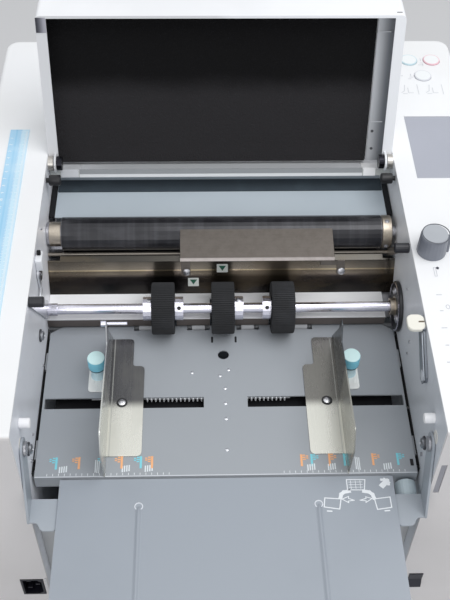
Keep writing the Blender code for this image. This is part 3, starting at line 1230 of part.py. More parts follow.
def make_extension():
    half, wall = EXTENSION_HALF_WIDTH, EXTENSION_THICK
    top = TABLE_TOP
    span_y = (EXTENSION_FRONT, EXTENSION_REAR)
    plate = box((-half, half), span_y, (top - wall, top))
    inside = top - wall / 2
    skirt = (top - EXTENSION_SKIRT, inside)
    parts = [box((-half, half), (EXTENSION_FRONT, EXTENSION_FRONT + wall), skirt)]
    parts += [box(sides(side, half - wall, half), span_y, skirt) for side in (-1, 1)]
    place("extension_table", union(plate, *parts), GREY_PAINT, on_x(ARM_AXIS))

    low = top - ARM_FOOT_DROP
    for side, name in ((-1, "left"), (1, "right")):
        # The web runs from the round pivot end down to the foot's full length.
        (fy, fz), (ry, rz) = (ARM_FOOT_FRONT, low), (ARM_FOOT_REAR, low)
        outline = []
        steps = 9
        front = tangent_angle((fy, low + ARM_THICK), ARM_AXIS, ARM_ROUND, -1)
        rear = tangent_angle((ry, low + ARM_THICK), ARM_AXIS, ARM_ROUND, 1)
        if rear > front:
            rear -= math.tau
        for k in range(steps + 1):
            angle = front + (rear - front) * k / steps
            outline.append((ARM_AXIS[0] + ARM_ROUND * math.cos(angle),
                            ARM_AXIS[1] + ARM_ROUND * math.sin(angle)))
        outline += [(ry, low + ARM_THICK), (ry, rz), (fy, fz), (fy, low + ARM_THICK)]
        web = prism(outline, "X", *sides(side, ARM_INNER_X, ARM_INNER_X + ARM_THICK))
        inner, outer = EXTENSION_HALF_WIDTH + GAP, ARM_INNER_X + ARM_THICK
        third = (outer - inner) / 3
        foot = [(side * x, y) for x, y in (
            (outer, fy), (outer, ry), (inner, ry), (inner, fy),
            (inner + third * 0.8, fy - ARM_LOBE * 0.7), (inner + third * 1.5, fy - ARM_LOBE),
            (inner + third * 2.2, fy - ARM_LOBE * 0.7))]
        foot = prism(foot, "Z", low, low + ARM_THICK)
        hole = bores("X", [ARM_AXIS], ARM_PIN_RADIUS + RUNNING,
                     *sides(side, ARM_INNER_X - OVERRUN, ARM_INNER_X + ARM_THICK + OVERRUN))
        place(f"{name}_arm", cut(union(web, foot), *hole), GREY_PAINT, on_x(ARM_AXIS))


def tangent_angle(outside, centre, radius, side):
    """Angle on a circle where a straight line from a point outside it touches."""
    run, rise = outside[0] - centre[0], outside[1] - centre[1]
    return math.atan2(rise, run) + side * math.acos(radius / math.hypot(run, rise))


def make_tray():
    sheet_low = TRAY_AXIS[1] - TRAY_BARREL_RADIUS + TRAY_THICK / 3
    front = TRAY_AXIS[0] - TRAY_BARREL_RADIUS * 0.6
    path = [(front, sheet_low + TRAY_THICK), (TRAY_REAR, sheet_low + TRAY_THICK)]
    half = TRAY_LUG_INNER - GAP - GAP
    sheet = prism(strip_outline(path, TRAY_THICK, -1), "X", -half, half)
    lip = box((-half, half), (TRAY_REAR - TRAY_THICK, TRAY_REAR),
              (sheet_low + TRAY_THICK / 2, sheet_low + TRAY_LIP))
    reach = TRAY_LUG_INNER + TRAY_LUG_WIDTH + GAP
    profile = [(-reach, TRAY_PIN_RADIUS), (-half, TRAY_PIN_RADIUS), (-half, TRAY_BARREL_RADIUS),
               (half, TRAY_BARREL_RADIUS), (half, TRAY_PIN_RADIUS), (reach, TRAY_PIN_RADIUS)]
    barrel = turned(profile, "X", TRAY_AXIS, SMALL_SIDES)
    place("exit_tray", union(sheet, lip, barrel), GREY_PAINT, on_x(TRAY_AXIS))


# Levers
def make_levers():
    # Lift lever on the feed shaft, left side.
    tip = (LIFT_TIP_Y, TABLE_TOP + LIFT_TIP_RISE)
    arm = prism(capsule(FEED_AXIS, tip, LIFT_HUB, LIFT_END), "X", -LIFT_OUTER_X, -LIFT_OUTER_X + LIFT_THICK)
    grip = turned([(-LIFT_OUTER_X, GRIP_RADIUS), (-LIFT_OUTER_X + GRIP_LENGTH * 0.94, GRIP_RADIUS),
                   (-LIFT_OUTER_X + GRIP_LENGTH, GRIP_RADIUS * 0.8)], "X", tip, SMALL_SIDES)
    hole = bores("X", [FEED_AXIS], FEED_SHAFT_RADIUS + RUNNING, -LIFT_OUTER_X - OVERRUN,
                 -LIFT_OUTER_X + LIFT_THICK + OVERRUN)
    place("lift_lever", cut(union(arm, grip), *hole), BLACK, on_x(FEED_AXIS))

    # Release lever: an arm fixed to a thin rod that crosses the machine.
    tip = (RELEASE_TIP_Y, TABLE_TOP + RELEASE_TIP_RISE)
    rod = turned([(-CROSS_SHAFT_END, RELEASE_ROD_RADIUS), (CROSS_SHAFT_END, RELEASE_ROD_RADIUS)],
                 "X", RELEASE_AXIS, SMALL_SIDES)
    arm_x = (RELEASE_ARM_INNER, RELEASE_ARM_INNER + RELEASE_ARM_THICK)
    arm = prism(capsule(RELEASE_AXIS, tip, RELEASE_HUB, RELEASE_END), "X", *arm_x)
    grip_end = COVER_HALF - GAP
    grip = turned([(grip_end - GRIP_LENGTH, GRIP_RADIUS * 0.8), (grip_end - GRIP_LENGTH * 0.94, GRIP_RADIUS),
                   (grip_end, GRIP_RADIUS)], "X", tip, SMALL_SIDES)
    place("release_lever", union(rod, arm, grip), BLACK, on_x(RELEASE_AXIS))

    # Side lever with a flat cream tab, on a stud of the right frame.
    tip = (SIDE_LEVER_TIP_Y, TABLE_TOP + SIDE_LEVER_TIP_RISE)
    span = (SIDE_LEVER_INNER_X, SIDE_LEVER_INNER_X + SIDE_LEVER_THICK)
    plate = prism(capsule(SIDE_LEVER_AXIS, tip, SIDE_LEVER_HUB, SIDE_LEVER_END), "X", *span)
    tab_low = tip[1] + SIDE_LEVER_END / 2
    radius = TAB_DEPTH / 2
    outline = rounded_rectangle((span[1] - TAB_LENGTH, span[1]), (tip[0] - radius, tip[0] + radius),
                                (radius * 0.98, 0, 0, radius * 0.98), 5)
    tab = prism(outline, "Z", tab_low, tab_low + TAB_THICK)
    hole = bores("X", [SIDE_LEVER_AXIS], SIDE_STUD_RADIUS + RUNNING, span[0] - OVERRUN,
                 span[1] + OVERRUN, SMALL_SIDES)
    place("side_lever", cut(union(plate, tab), *hole), CREAM, on_x(SIDE_LEVER_AXIS))


# Controls
def make_controls():
    centre = (SKEW_X, TABLE_TOP - SKEW_DROP)
    profile = [(SKEW_FRONT, SKEW_RADIUS * 0.88), (SKEW_FRONT + SKEW_RADIUS * 0.12, SKEW_RADIUS),
               (SKEW_REAR, SKEW_RADIUS), (SKEW_REAR, SKEW_SHAFT_RADIUS), (SKEW_SHAFT_END, SKEW_SHAFT_RADIUS)]
    place("skew_knob", turned(profile, "Y", centre), MID_GREY, (centre[0], 0, centre[1]))

    centre = (DIAL_X, DIAL_Y)
    low = HOUSING_TOP + GAP
    profile = [(HOUSING_TOP - DIAL_SHAFT_DROP, DIAL_SHAFT_RADIUS), (low, DIAL_SHAFT_RADIUS),
               (low, DIAL_RADIUS), (low + DIAL_HEIGHT * 0.9, DIAL_RADIUS * 0.94),
               (low + DIAL_HEIGHT, DIAL_RADIUS * 0.86)]
    pointer = box((DIAL_X, DIAL_X + DIAL_RADIUS + DIAL_POINTER / 2),
                  (DIAL_Y - DIAL_POINTER / 2, DIAL_Y + DIAL_POINTER / 2), (low, low + DIAL_HEIGHT * 0.85))
    place("dial_knob", union(turned(profile, "Z", centre), pointer), MID_GREY, (DIAL_X, DIAL_Y, 0))

    under = HOUSING_TOP - SHELL_WALL - GAP
    for name, x, y, finish in (("start_button", START_X, START_Y, CYAN), ("stop_button", STOP_X, STOP_Y, RED),
                               ("clear_button", CLEAR_X, CLEAR_Y, MID_GREY)):
        flange = BUTTON_RADIUS + BUTTON_FLANGE
        flange_low = under - BUTTON_FLANGE_THICK
        profile = [(flange_low - BUTTON_SKIRT, BUTTON_RADIUS), (flange_low, BUTTON_RADIUS), (flange_low, flange),
                   (under, flange), (under, BUTTON_RADIUS), (HOUSING_TOP + BUTTON_RISE * 0.7, BUTTON_RADIUS),
                   (HOUSING_TOP + BUTTON_RISE, BUTTON_RADIUS - BUTTON_RISE * 0.3)]
        place(name, turned(profile, "Z", (x, y), SMALL_SIDES), finish, (x, y, 0))

    raised = box((PANEL_LEFT + GAP, PANEL_RIGHT - GAP), (PANEL_FRONT + GAP, PANEL_REAR - GAP),
                 (under - PANEL_THICK / 2, HOUSING_TOP - PANEL_SUNK))
    flange = box((PANEL_LEFT - PANEL_FLANGE, PANEL_RIGHT + PANEL_FLANGE),
                 (PANEL_FRONT - PANEL_FLANGE, PANEL_REAR + PANEL_FLANGE), (under - PANEL_THICK, under))
    place("display_panel", union(flange, raised), PANEL_GREY)

    # Rocker switch, pressed in at its lower half.
    centre = (ROCKER_Y, TABLE_TOP - ROCKER_DROP)
    half, back = ROCKER_HALF_HEIGHT, ROCKER_BACK
    outline = [(-ROCKER_REACH, -half), (-ROCKER_REACH + ROCKER_DISH, 0), (-ROCKER_REACH, half), (0, half),
               (back, half - back), (back, back - half), (0, -half)]
    rocker = prism([(centre[0] + y, centre[1] + z) for y, z in outline], "X",
                   ROCKER_LEFT + GAP, ROCKER_RIGHT - GAP)
    place("rocker_switch", rocker, BLACK, on_x(centre), (ROCKER_TILT, 0, 0))

    # Power inlet with three blades.
    z = TABLE_TOP - INLET_DROP
    half_w, half_h = INLET_WIDTH / 2, INLET_HEIGHT / 2
    front = BODY_FRONT - INLET_PROUD
    body = box((INLET_X - half_w, INLET_X + half_w), (front, INLET_REAR), (z - half_h, z + half_h))
    flange_y = BODY_FRONT + SHELL_WALL + GAP
    flange = box((INLET_X - half_w - INLET_FLANGE, INLET_X + half_w + INLET_FLANGE),
                 (flange_y, flange_y + INLET_FLANGE_THICK),
                 (z - half_h - INLET_FLANGE, z + half_h + INLET_FLANGE))
    room_w, room_h, chamfer = half_w - INLET_WALL, half_h - INLET_WALL, INLET_CHAMFER
    outline = [(INLET_X - room_w, z - room_h), (INLET_X + room_w - chamfer, z - room_h),
               (INLET_X + room_w, z - room_h + chamfer), (INLET_X + room_w, z + room_h - chamfer),
               (INLET_X + room_w - chamfer, z + room_h), (INLET_X - room_w, z + room_h)]
    floor_y = front + INLET_DEPTH
    room = prism(outline, "Y", front - OVERRUN, floor_y)
    pins = []
    for dx, dz in ((-INLET_PIN_SHIFT, -INLET_PIN_SPREAD), (INLET_PIN_SHIFT, 0), (-INLET_PIN_SHIFT, INLET_PIN_SPREAD)):
        pins.append(box((INLET_X + dx - INLET_PIN_HEIGHT / 2, INLET_X + dx + INLET_PIN_HEIGHT / 2),
                        (floor_y - INLET_PIN_LENGTH, floor_y + INLET_WALL),
                        (z + dz - INLET_PIN_WIDTH / 2, z + dz + INLET_PIN_WIDTH / 2)))
    inlet = union(cut(union(body, flange), room), *pins)
    place("power_inlet", inlet, BLACK)


def main():
    global MACHINE
    for item in list(bpy.data.objects):
        bpy.data.objects.remove(item)
    MACHINE = bpy.data.objects.new("machine", None)
    MACHINE.location = ((LEFT_OUTER - RIGHT_OUTER) / 2, -(EXTENSION_FRONT + TRAY_REAR) / 2, 0)
    bpy.context.scene.collection.objects.link(MACHINE)
    make_base()
    make_frames()
    make_housings()
    make_covers()
    make_feed_table()
    make_paper_plates()
    make_fold_plates()
    make_drive()
    make_fold_rollers()
    make_feed()
    make_guides()
    make_hood()
    make_extension()
    make_tray()
    make_levers()
    make_controls()


main()
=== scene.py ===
"""Looks of a desk paper folding machine with its hood open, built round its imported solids.

The file follows the machine as it is put together: studio, painted casework, drive, rollers,
plates, feed, tables, guides, hood, levers, controls and printed scales.
"""

import math

import bmesh
import bpy
import numpy as np
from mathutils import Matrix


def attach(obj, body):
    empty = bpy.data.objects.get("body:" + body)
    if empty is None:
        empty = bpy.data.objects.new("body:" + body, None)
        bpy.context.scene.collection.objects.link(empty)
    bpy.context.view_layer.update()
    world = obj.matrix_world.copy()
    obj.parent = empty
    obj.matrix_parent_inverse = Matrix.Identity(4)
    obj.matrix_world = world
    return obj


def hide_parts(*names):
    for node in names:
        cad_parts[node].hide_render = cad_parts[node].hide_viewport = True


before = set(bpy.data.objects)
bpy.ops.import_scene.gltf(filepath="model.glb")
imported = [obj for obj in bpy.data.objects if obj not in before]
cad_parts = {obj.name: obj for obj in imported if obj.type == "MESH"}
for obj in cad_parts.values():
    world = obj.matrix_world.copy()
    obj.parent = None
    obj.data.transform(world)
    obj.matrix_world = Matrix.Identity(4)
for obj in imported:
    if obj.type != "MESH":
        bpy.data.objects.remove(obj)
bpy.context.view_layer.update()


# Studio. A plain pale floor, a large soft ceiling lamp, a low front lamp and an even pale sky.
# The camera stands at the operator's place and looks down into the open machine.
camera = bpy.data.objects.new("camera", bpy.data.cameras.new("camera"))
bpy.context.scene.collection.objects.link(camera)
bpy.context.scene.camera = camera
camera.data.lens = 60
camera.data.sensor_width = 36
camera.data.clip_start = 0.01
pitch, yaw, roll = 0.8598943436, 0.0393592016, -0.0206634988
ahead = np.array((math.sin(yaw) * math.cos(pitch), math.cos(yaw) * math.cos(pitch), -math.sin(pitch)))
level = np.array((math.cos(yaw), -math.sin(yaw), 0.0))
down = np.cross(ahead, level)
right = math.cos(roll) * level + math.sin(roll) * down
below = -math.sin(roll) * level + math.cos(roll) * down
aim = np.eye(4)
aim[:3, 0], aim[:3, 1], aim[:3, 2] = right, -below, -ahead
aim[:3, 3] = (-0.035394, -0.664079, 1.048241)
camera.matrix_world = aim.T.tolist()
bpy.context.scene.view_settings.view_transform = "Standard"

floor = bpy.data.objects.new("floor", bpy.data.meshes.new("floor"))
floor.data.from_pydata([(-6, -6, 0), (6, -6, 0), (6, 6, 0), (-6, 6, 0)], [], [(0, 1, 2, 3)])
bpy.context.scene.collection.objects.link(floor)
floor_finish = bpy.data.materials.new("pale_floor")
floor_finish.use_nodes = True
floor_shader = floor_finish.node_tree.nodes["Principled BSDF"]
floor_shader.inputs["Base Color"].default_value = (0.66, 0.66, 0.67, 1)
floor_shader.inputs["Roughness"].default_value = 0.7
floor.data.materials.append(floor_finish)

sky = bpy.data.worlds.new("sky")
bpy.context.scene.world = sky
sky.use_nodes = True
sky.node_tree.nodes["Background"].inputs["Color"].default_value = (0.96, 0.98, 1.0, 1)


class Field:
    """A socket of a finish. Sums written with it add Math nodes."""

    def __init__(self, tree, socket):
        self.tree, self.socket = tree, socket

    def node(self, kind, settings=None, inputs=None, output=0):
        """Any node: its type, its settings (a ramp's stops too), then its sockets' values or links."""
        made = self.tree.nodes.new("ShaderNode" + kind)
        for name, value in (settings or {}).items():
            if name == "stops":
                ramp = made.color_ramp
                while len(ramp.elements) < len(value):
                    ramp.elements.new(0.5)
                for element, (position, colour) in zip(ramp.elements, value):
                    element.position, element.color = position, colour
            else:
                setattr(made, name, value)
        for name, value in (inputs or {}).items():
            if isinstance(value, Field):
                self.tree.links.new(value.socket, made.inputs[name])
            else:
                made.inputs[name].default_value = value
        return Field(self.tree, made.outputs[output])

    def maths(self, operation, *values):
        return self.node("Math", {"operation": operation}, dict(enumerate(values)))

    def __add__(self, other): return self.maths("ADD", self, other)
    def __radd__(self, other): return self.maths("ADD", other, self)
    def __sub__(self, other): return self.maths("SUBTRACT", self, other)
    def __rsub__(self, other): return self.maths("SUBTRACT", other, self)
    def __mul__(self, other): return self.maths("MULTIPLY", self, other)
    def __rmul__(self, other): return self.maths("MULTIPLY", other, self)
    def __truediv__(self, other): return self.maths("DIVIDE", self, other)

    def noise(self, scale, detail=3.0, roughness=0.5, stretch=(1, 1, 1)):
        """Noise of so many grains in a metre, stretched along an axis by a small factor there."""
        place = self.node("Mapping", {}, {"Vector": self, "Scale": stretch})
        return place.node("TexNoise", {}, {"Vector": place, "Scale": scale, "Detail": detail,
                                           "Roughness": roughness})

    def ease(self, low, high):
        """0 below low, 1 above high, smooth between."""
        return self.node("MapRange", {"interpolation_type": "SMOOTHSTEP"},
                         {"Value": self, "From Min": low, "From Max": high})

    def part(self, letter):
        """The X, Y or Z of a place."""
        return self.node("SeparateXYZ", {}, {0: self}, letter)

    def blend(self, first, second):
        """first where this field is 0, second where it is 1."""
        return self.node("Mix", {"data_type": "RGBA"}, {0: self, 6: first, 7: second}, 2)


# The sky lights evenly; metal and glass see it a little brighter, as a white ceiling.
ray = sky.node_tree.nodes.new("ShaderNodeLightPath").outputs
seen = (Field(sky.node_tree, ray["Is Glossy Ray"]) + Field(sky.node_tree, ray["Is Transmission Ray"])
        + Field(sky.node_tree, ray["Is Camera Ray"]))
sky.node_tree.links.new((0.6 + seen * 0.38).socket, sky.node_tree.nodes["Background"].inputs["Strength"])


def soft_lamp(name, place, target, width, depth, power):
    """Area lamp at place that faces target."""
    lamp = bpy.data.objects.new(name, bpy.data.lights.new(name, "AREA"))
    lamp.data.shape = "RECTANGLE"
    lamp.data.size, lamp.data.size_y, lamp.data.energy = width, depth, power
    away = np.array(place, float) - np.array(target, float)
    away /= np.linalg.norm(away)
    side = np.cross((0.0, 1.0, 0.0) if abs(away[2]) > 0.9 else (0.0, 0.0, 1.0), away)
    side /= np.linalg.norm(side)
    turn = np.eye(4)
    turn[:3, 0], turn[:3, 1], turn[:3, 2], turn[:3, 3] = side, np.cross(away, side), away, place
    lamp.matrix_world = turn.T.tolist()
    bpy.context.scene.collection.objects.link(lamp)


soft_lamp("ceiling_lamp", (0.75, -0.35, 2.2), (0, 0, 0.3), 1.7, 1.7, 25)
soft_lamp("front_lamp", (-0.7, -2.0, 1.5), (0, 0, 0.3), 1.6, 1.2, 7)


# Housings. Two side housings of moulded white plastic with a fine spark-eroded grain, screwed to
# the outside of the steel side frames; their front faces carry painted shade, a darker warm grey.
def paint(red, green, blue):
    """Colour as a screen shows it, 0 to 255, turned into light."""
    shown = np.array((red, green, blue)) / 255
    light = np.where(shown <= 0.04045, shown / 12.92, ((shown + 0.055) / 1.055) ** 2.4)
    return (*light.tolist(), 1.0)


def new_finish(name):
    """A new finish and the field of places on the piece."""
    made = bpy.data.materials.new(name)
    made.use_nodes = True
    coordinates = made.node_tree.nodes.new("ShaderNodeTexCoord")
    return made, Field(made.node_tree, coordinates.outputs["Object"])


def seal(made, colour, roughness, metallic=0.0, relief=None, strength=0.2, depth=0.0002, **fixed):
    """Joins the fields of a finish to its shader. relief is the height field of its grain."""
    tree = made.node_tree
    shader = tree.nodes["Principled BSDF"]
    wanted = {"Base Color": colour, "Roughness": roughness, "Metallic": metallic}
    if relief is not None:
        wanted["Normal"] = relief.node("Bump", {},
                                       {"Strength": strength, "Distance": depth, "Height": relief})
    wanted.update({name.replace("_", " "): value for name, value in fixed.items()})
    for name, value in wanted.items():
        if isinstance(value, Field):
            tree.links.new(value.socket, shader.inputs[name])
        else:
            shader.inputs[name].default_value = value
    return made


def moulded(name, colour, worn, roughness=0.45, grain=1400, strength=0.12, dirt=0.35, **fixed):
    """Moulded or painted surface: a fine grain, soft clouds of a second tone and a few dull spots."""
    made, place = new_finish(name)
    clouds = place.noise(9, 4).ease(0.42, 0.72)
    grains = place.noise(grain, 2)
    spots = place.noise(160, 2).ease(0.62, 0.75)
    return seal(made, (clouds * dirt + spots * 0.05).blend(colour, worn),
                roughness + clouds * 0.08 + grains * 0.06, relief=grains, strength=strength,
                depth=0.0001, **fixed)


def dress(made, *nodes):
    """Gives a finish to solids that keep their shape."""
    for name in nodes:
        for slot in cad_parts[name].material_slots:
            slot.material = made


def housing_plastic():
    """White plastic; the front faces, below Y = -0.2325, are painted a darker warm grey as shade."""
    made, place = new_finish("white_plastic")
    clouds = place.noise(9, 4).ease(0.42, 0.72)
    grains = place.noise(1400, 2)
    # painted shade: the front faces take the darker warm grey
    front = 1 - place.part("Y").ease(-0.2328, -0.2318)
    tone = front.blend(paint(241, 242, 244), paint(220, 217, 217))
    return seal(made, (clouds * 0.3).blend(tone, front.blend(paint(230, 230, 228), paint(208, 205, 204))),
                0.42 + clouds * 0.08 + grains * 0.05, relief=grains, strength=0.12, depth=0.0001)


dress(housing_plastic(), "left_housing", "right_housing")


# Side frames and covers. Folded sheet steel with a baked pale-grey enamel that shows a slight
# orange-peel skin; the frames carry every shaft, the covers close the front and the rear.
def frame_enamel(name, rear, front, marks_tone):
    """Enamel whose tone eases from rear to front, the darker front tone being painted shade, worn in
    clouds, with bare steel on the studs: within a few millimetres of the hinge and arm axes and inside
    the frame's inner face."""
    made, place = new_finish(name)
    clouds = place.noise(12, 4).ease(0.42, 0.72)
    peel = place.noise(700, 2)
    scuffs = place.noise(240, 2, 0.5, (1, 1, 0.25)).ease(0.66, 0.74)
    x, y, z = (place.part(letter) for letter in "XYZ")
    side = x + 0.0125
    inside = 1 - side.maths("ABSOLUTE", side).ease(0.1705, 0.171)
    near = 0.0
    for stud_y, stud_z, reach in ((0.0925, 0.380, 0.0085), (-0.2115, 0.3345, 0.0085)):
        out_y, out_z = y - stud_y, z - stud_z
        near = near + (1 - (out_y * out_y + out_z * out_z).ease(reach ** 2, (reach + 0.0004) ** 2))
    steel = inside * near
    # painted shade: the front of each frame takes the darker front tone
    tone = y.ease(-0.19, 0.02).blend(front, rear)
    worn = (clouds * 0.35 + scuffs * 0.3).blend(tone, marks_tone)
    dark_head = y.ease(0.0, 0.01).blend(paint(176, 176, 180), paint(40, 40, 46))
    return seal(made, steel.blend(worn, dark_head), 0.34 + clouds * 0.08 - steel * 0.08, steel * 0.9, peel,
                0.1, 0.0001)


dress(frame_enamel("left_frame_enamel", paint(244, 245, 250), paint(228, 231, 238), paint(206, 208, 214)),
      "left_frame")
dress(frame_enamel("right_frame_enamel", paint(244, 246, 250), paint(214, 219, 226), paint(198, 202, 208)),
      "right_frame")
cover_enamel = moulded("cover_enamel", paint(186, 188, 190), paint(170, 171, 170), 0.42, 700, 0.12)
dress(cover_enamel, "front_cover", "rear_cover", "base_plate")


# Feet. Four turned black rubber pads screwed under the base plate, dusty round their rims.
def worn_rubber(name, colour, dusty, grain=500, roughness=0.75, strength=0.35, amount=0.4):
    """Rubber: matt, with fine pits and a veil of paper dust in clouds."""
    made, place = new_finish(name)
    pits = place.noise(grain, 4, 0.65)
    dust = place.noise(45, 4).ease(0.45, 0.75)
    return seal(made, (dust * amount).blend(colour, dusty), roughness + pits * 0.12,
                relief=pits, strength=strength, depth=0.0002)


foot_rubber = worn_rubber("foot_rubber", paint(38, 38, 40), paint(92, 92, 94))
dress(foot_rubber, "foot_front_left", "foot_front_right", "foot_rear_left", "foot_rear_right")


# Drive. A can motor in grey enamel, steel and black pulleys, a cogged rubber belt and four steel
# gears on the left that keep the fold rollers in step.
def brushed(name, colour, streak, along="X", roughness=0.3, fine=900, metallic=1.0, strength=0.12,
            amount=0.6):
    """Metal with fine streaks along one axis: noise drawn out that way, in tone, gloss and relief."""
    made, place = new_finish(name)
    stretch = [1.0, 1.0, 1.0]
    stretch["XYZ".index(along)] = 0.02
    lines = place.noise(fine, 3, 0.6, stretch)
    stains = place.noise(14, 4).ease(0.4, 0.75)
    return seal(made, (lines * amount + stains * 0.25).blend(colour, streak),
                roughness + lines * 0.16 + stains * 0.07, metallic, lines, strength, 0.00005)


motor_enamel = moulded("motor_enamel", paint(112, 116, 122), paint(92, 95, 100), 0.4, 600, 0.15)
dress(motor_enamel, "drive_motor")
turned_steel = brushed("turned_steel", paint(214, 214, 220), paint(150, 150, 156), "Y", 0.2, 700)
dress(turned_steel, "motor_pulley", "roller_gear_1", "roller_gear_2", "roller_gear_3", "roller_gear_4")
pulley_plastic = moulded("pulley_plastic", paint(34, 34, 36), paint(52, 52, 54), 0.38)
dress(pulley_plastic, "roller_pulley")
belt_rubber = worn_rubber("belt_rubber", paint(30, 30, 31), paint(64, 64, 64), 900)
dress(belt_rubber, "drive_belt")


# Fold rollers. Steel journals with a ground grey-black rubber sleeve, mottled by paper dust, the
# sheen running along the sleeve where sheets have polished it.
def roller_sleeve():
    """Rubber between the sleeve's ends and ground steel past them, chosen by X along the roller."""
    made, place = new_finish("roller_sleeve")
    side = place.part("X") + 0.0125
    steel = side.maths("ABSOLUTE", side).ease(0.1565, 0.1572)
    dust = place.noise(70, 5, 0.65, (0.35, 1, 1)).ease(0.42, 0.78)
    rings = place.noise(160, 3, 0.6, (1, 0.03, 0.03)).ease(0.4, 0.75)
    pores = place.noise(1500, 3)
    rubber = (dust * 0.2 + rings * 0.2).blend(paint(42, 42, 46), paint(96, 96, 102))
    ground = place.noise(900, 2, 0.5, (1, 0.03, 0.03)).blend(paint(206, 206, 212), paint(150, 150, 156))
    return seal(made, steel.blend(rubber, ground), (1 - steel) * (0.22 + dust * 0.06) + steel * 0.24,
                steel * 0.7 + 0.3, pores, 0.05, 0.00005)


FRAME_FACE = 172.3      # inner face of the side frames, in mm from the middle
FRAME_SEAT = 172.35     # the same for small parts that are let into it


def spot(x, y, height=0.0):
    """Places in metres from millimetres: x from the paper's centre line, y from the feed table's
    front edge, height above the table's top."""
    return np.stack(np.broadcast_arrays((x - 12.5) / 1000, (y - 204.5) / 1000, (height + 276) / 1000), -1)


def skin(name, grids, ring=True, tube=False, crease=35, keep_way=False):
    """Surfaces from grids of points [i, j]: each cell between four neighbours is a face. ring joins
    the last j to the first, tube joins the last i to the first. Points that meet are merged, so a
    row that shrinks to one place becomes a closed pole, and closed shapes are turned outwards."""
    places, faces, first = [], [], 0
    for grid in grids:
        rows, columns = grid.shape[:2]
        i = np.arange(rows if tube else rows - 1)[:, None]
        j = np.arange(columns if ring else columns - 1)[None, :]
        after, beside = (i + 1) % rows, (j + 1) % columns
        cells = np.stack(np.broadcast_arrays(i * columns + j, i * columns + beside,
                                             after * columns + beside, after * columns + j), -1)
        faces.append(cells.reshape(-1, 4) + first)
        places.append(grid.reshape(-1, 3))
        first += rows * columns
    mesh = bpy.data.meshes.new(name)
    mesh.from_pydata(np.concatenate(places).tolist(), [], np.concatenate(faces).tolist())
    made = bmesh.new()
    made.from_mesh(mesh)
    bmesh.ops.remove_doubles(made, verts=made.verts, dist=1e-6)
    if not keep_way:
        bmesh.ops.recalc_face_normals(made, faces=made.faces)
    made.to_mesh(mesh)
    made.free()
    mesh.shade_smooth()
    mesh.set_sharp_from_angle(angle=math.radians(crease))
    piece = bpy.data.objects.new(name, mesh)
    bpy.context.scene.collection.objects.link(piece)
    return piece


def fit(piece, made, body):
    """Gives a piece its finish and the body that it moves with."""
    piece.data.materials.clear()
    piece.data.materials.append(made)
    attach(piece, body)
    return piece


def lathe(profile, x, y, height, axis="X", sides=28, lean=0.0):
    """Grid of a turned shape, in millimetres. Each (along, radius) of the profile goes round the
    axis: the centre, plus along on the axis, plus the radius times cosine and sine on the other two.
    lean turns it about X, in degrees."""
    profile = np.array(profile, float)
    angle = np.linspace(0, 2 * math.pi, sides, endpoint=False)
    k = "XYZ".index(axis)
    way = [0.0, 0.0, 0.0]
    way[k] = profile[:, :1] + 0 * angle
    way[(k + 1) % 3] = profile[:, 1:] * np.cos(angle)
    way[(k + 2) % 3] = profile[:, 1:] * np.sin(angle)
    c, s = math.cos(math.radians(lean)), math.sin(math.radians(lean))
    return spot(x + way[0], y + way[1] * c - way[2] * s, height + way[1] * s + way[2] * c)


dress(roller_sleeve(), "fold_roller_1", "fold_roller_2", "fold_roller_3", "fold_roller_4")

bearing_steel = brushed("bearing_steel", paint(202, 192, 178), paint(146, 136, 122), "Y", 0.24, 700)
end_collar = skin("roller_end_collar", [
    lathe([(157.6, 6.4), (157.6, 15.6), (158.2, 16.3), (166.6, 16.3), (167.2, 15.6), (167.2, 6.4)],
          0, 238.0, 64.0, sides=64)], tube=True)
fit(end_collar, bearing_steel, "roller_1")
left_bushes = skin("roller_left_bush", [
    lathe([(-169.6, 6.4), (-169.6, 11.4), (-169.0, 12.0), (-158.4, 12.0), (-157.8, 11.4), (-157.8, 6.4)],
          0, 238.0, 64.0, sides=48)], tube=True)
fit(left_bushes, bearing_steel, "roller_1")


def pan_screw(x, y, height, axis, way, radius, rise, lean=0.0):
    """Grid of a pan-head screw, in millimetres: a low dome whose height falls with the square of the
    radius, and a recess sunk in its middle. way is +1 or -1 along the axis."""
    share = np.linspace(1, 0.36, 8)
    dome = [(0, 0), (0, radius)] + [(way * rise * (1 - 0.62 * s * s) ** 0.5, radius * s) for s in share]
    return lathe(dome + [(way * rise * 0.45, radius * 0.26), (way * rise * 0.4, 0)], x, y, height, axis, 20,
                 lean)


screw_steel = brushed("screw_steel", paint(206, 206, 210), paint(140, 140, 146), "Y", 0.24, 1500)
collar_screws = skin("end_collar_screws", [pan_screw(162.4, 236.0, 80.0, "Z", 1, 2.2, 0.9),
                                           pan_screw(162.4, 222.6, 59.5, "Y", -1, 2.4, 1.0)])
fit(collar_screws, screw_steel, "roller_1")


# Fold plates. Flat cassettes of enamelled sheet, pale blue-grey, in which the sheet buckles; the
# upper one shows as the light panel behind the first fold roller.
blue_enamel = moulded("blue_enamel", paint(182, 192, 200), paint(166, 177, 186), 0.34, 700, 0.1)
dress(blue_enamel, "upper_fold_plate", "lower_fold_plate")


def slab(outline, low, high, edge=0.3, place=spot, middle=None):
    """Grid of a flat plate with softened edges, in millimetres: the outline is repeated at low and
    high, drawn in by edge there, and closed to its middle, a point that sees the whole outline. place
    turns its three numbers into places."""
    outline = np.array(outline, float)
    middle = outline.mean(0) if middle is None else np.array(middle, float)
    toward = middle - outline
    pulled = outline + toward * edge / np.linalg.norm(toward, axis=1, keepdims=True)
    hub = np.tile(middle, (len(outline), 1))
    flat = np.stack([hub, pulled, outline, outline, pulled, hub])
    rise = np.array([low, low, low + edge, high - edge, high, high])[:, None]
    return place(flat[..., 0], flat[..., 1], rise + 0 * flat[..., 0])


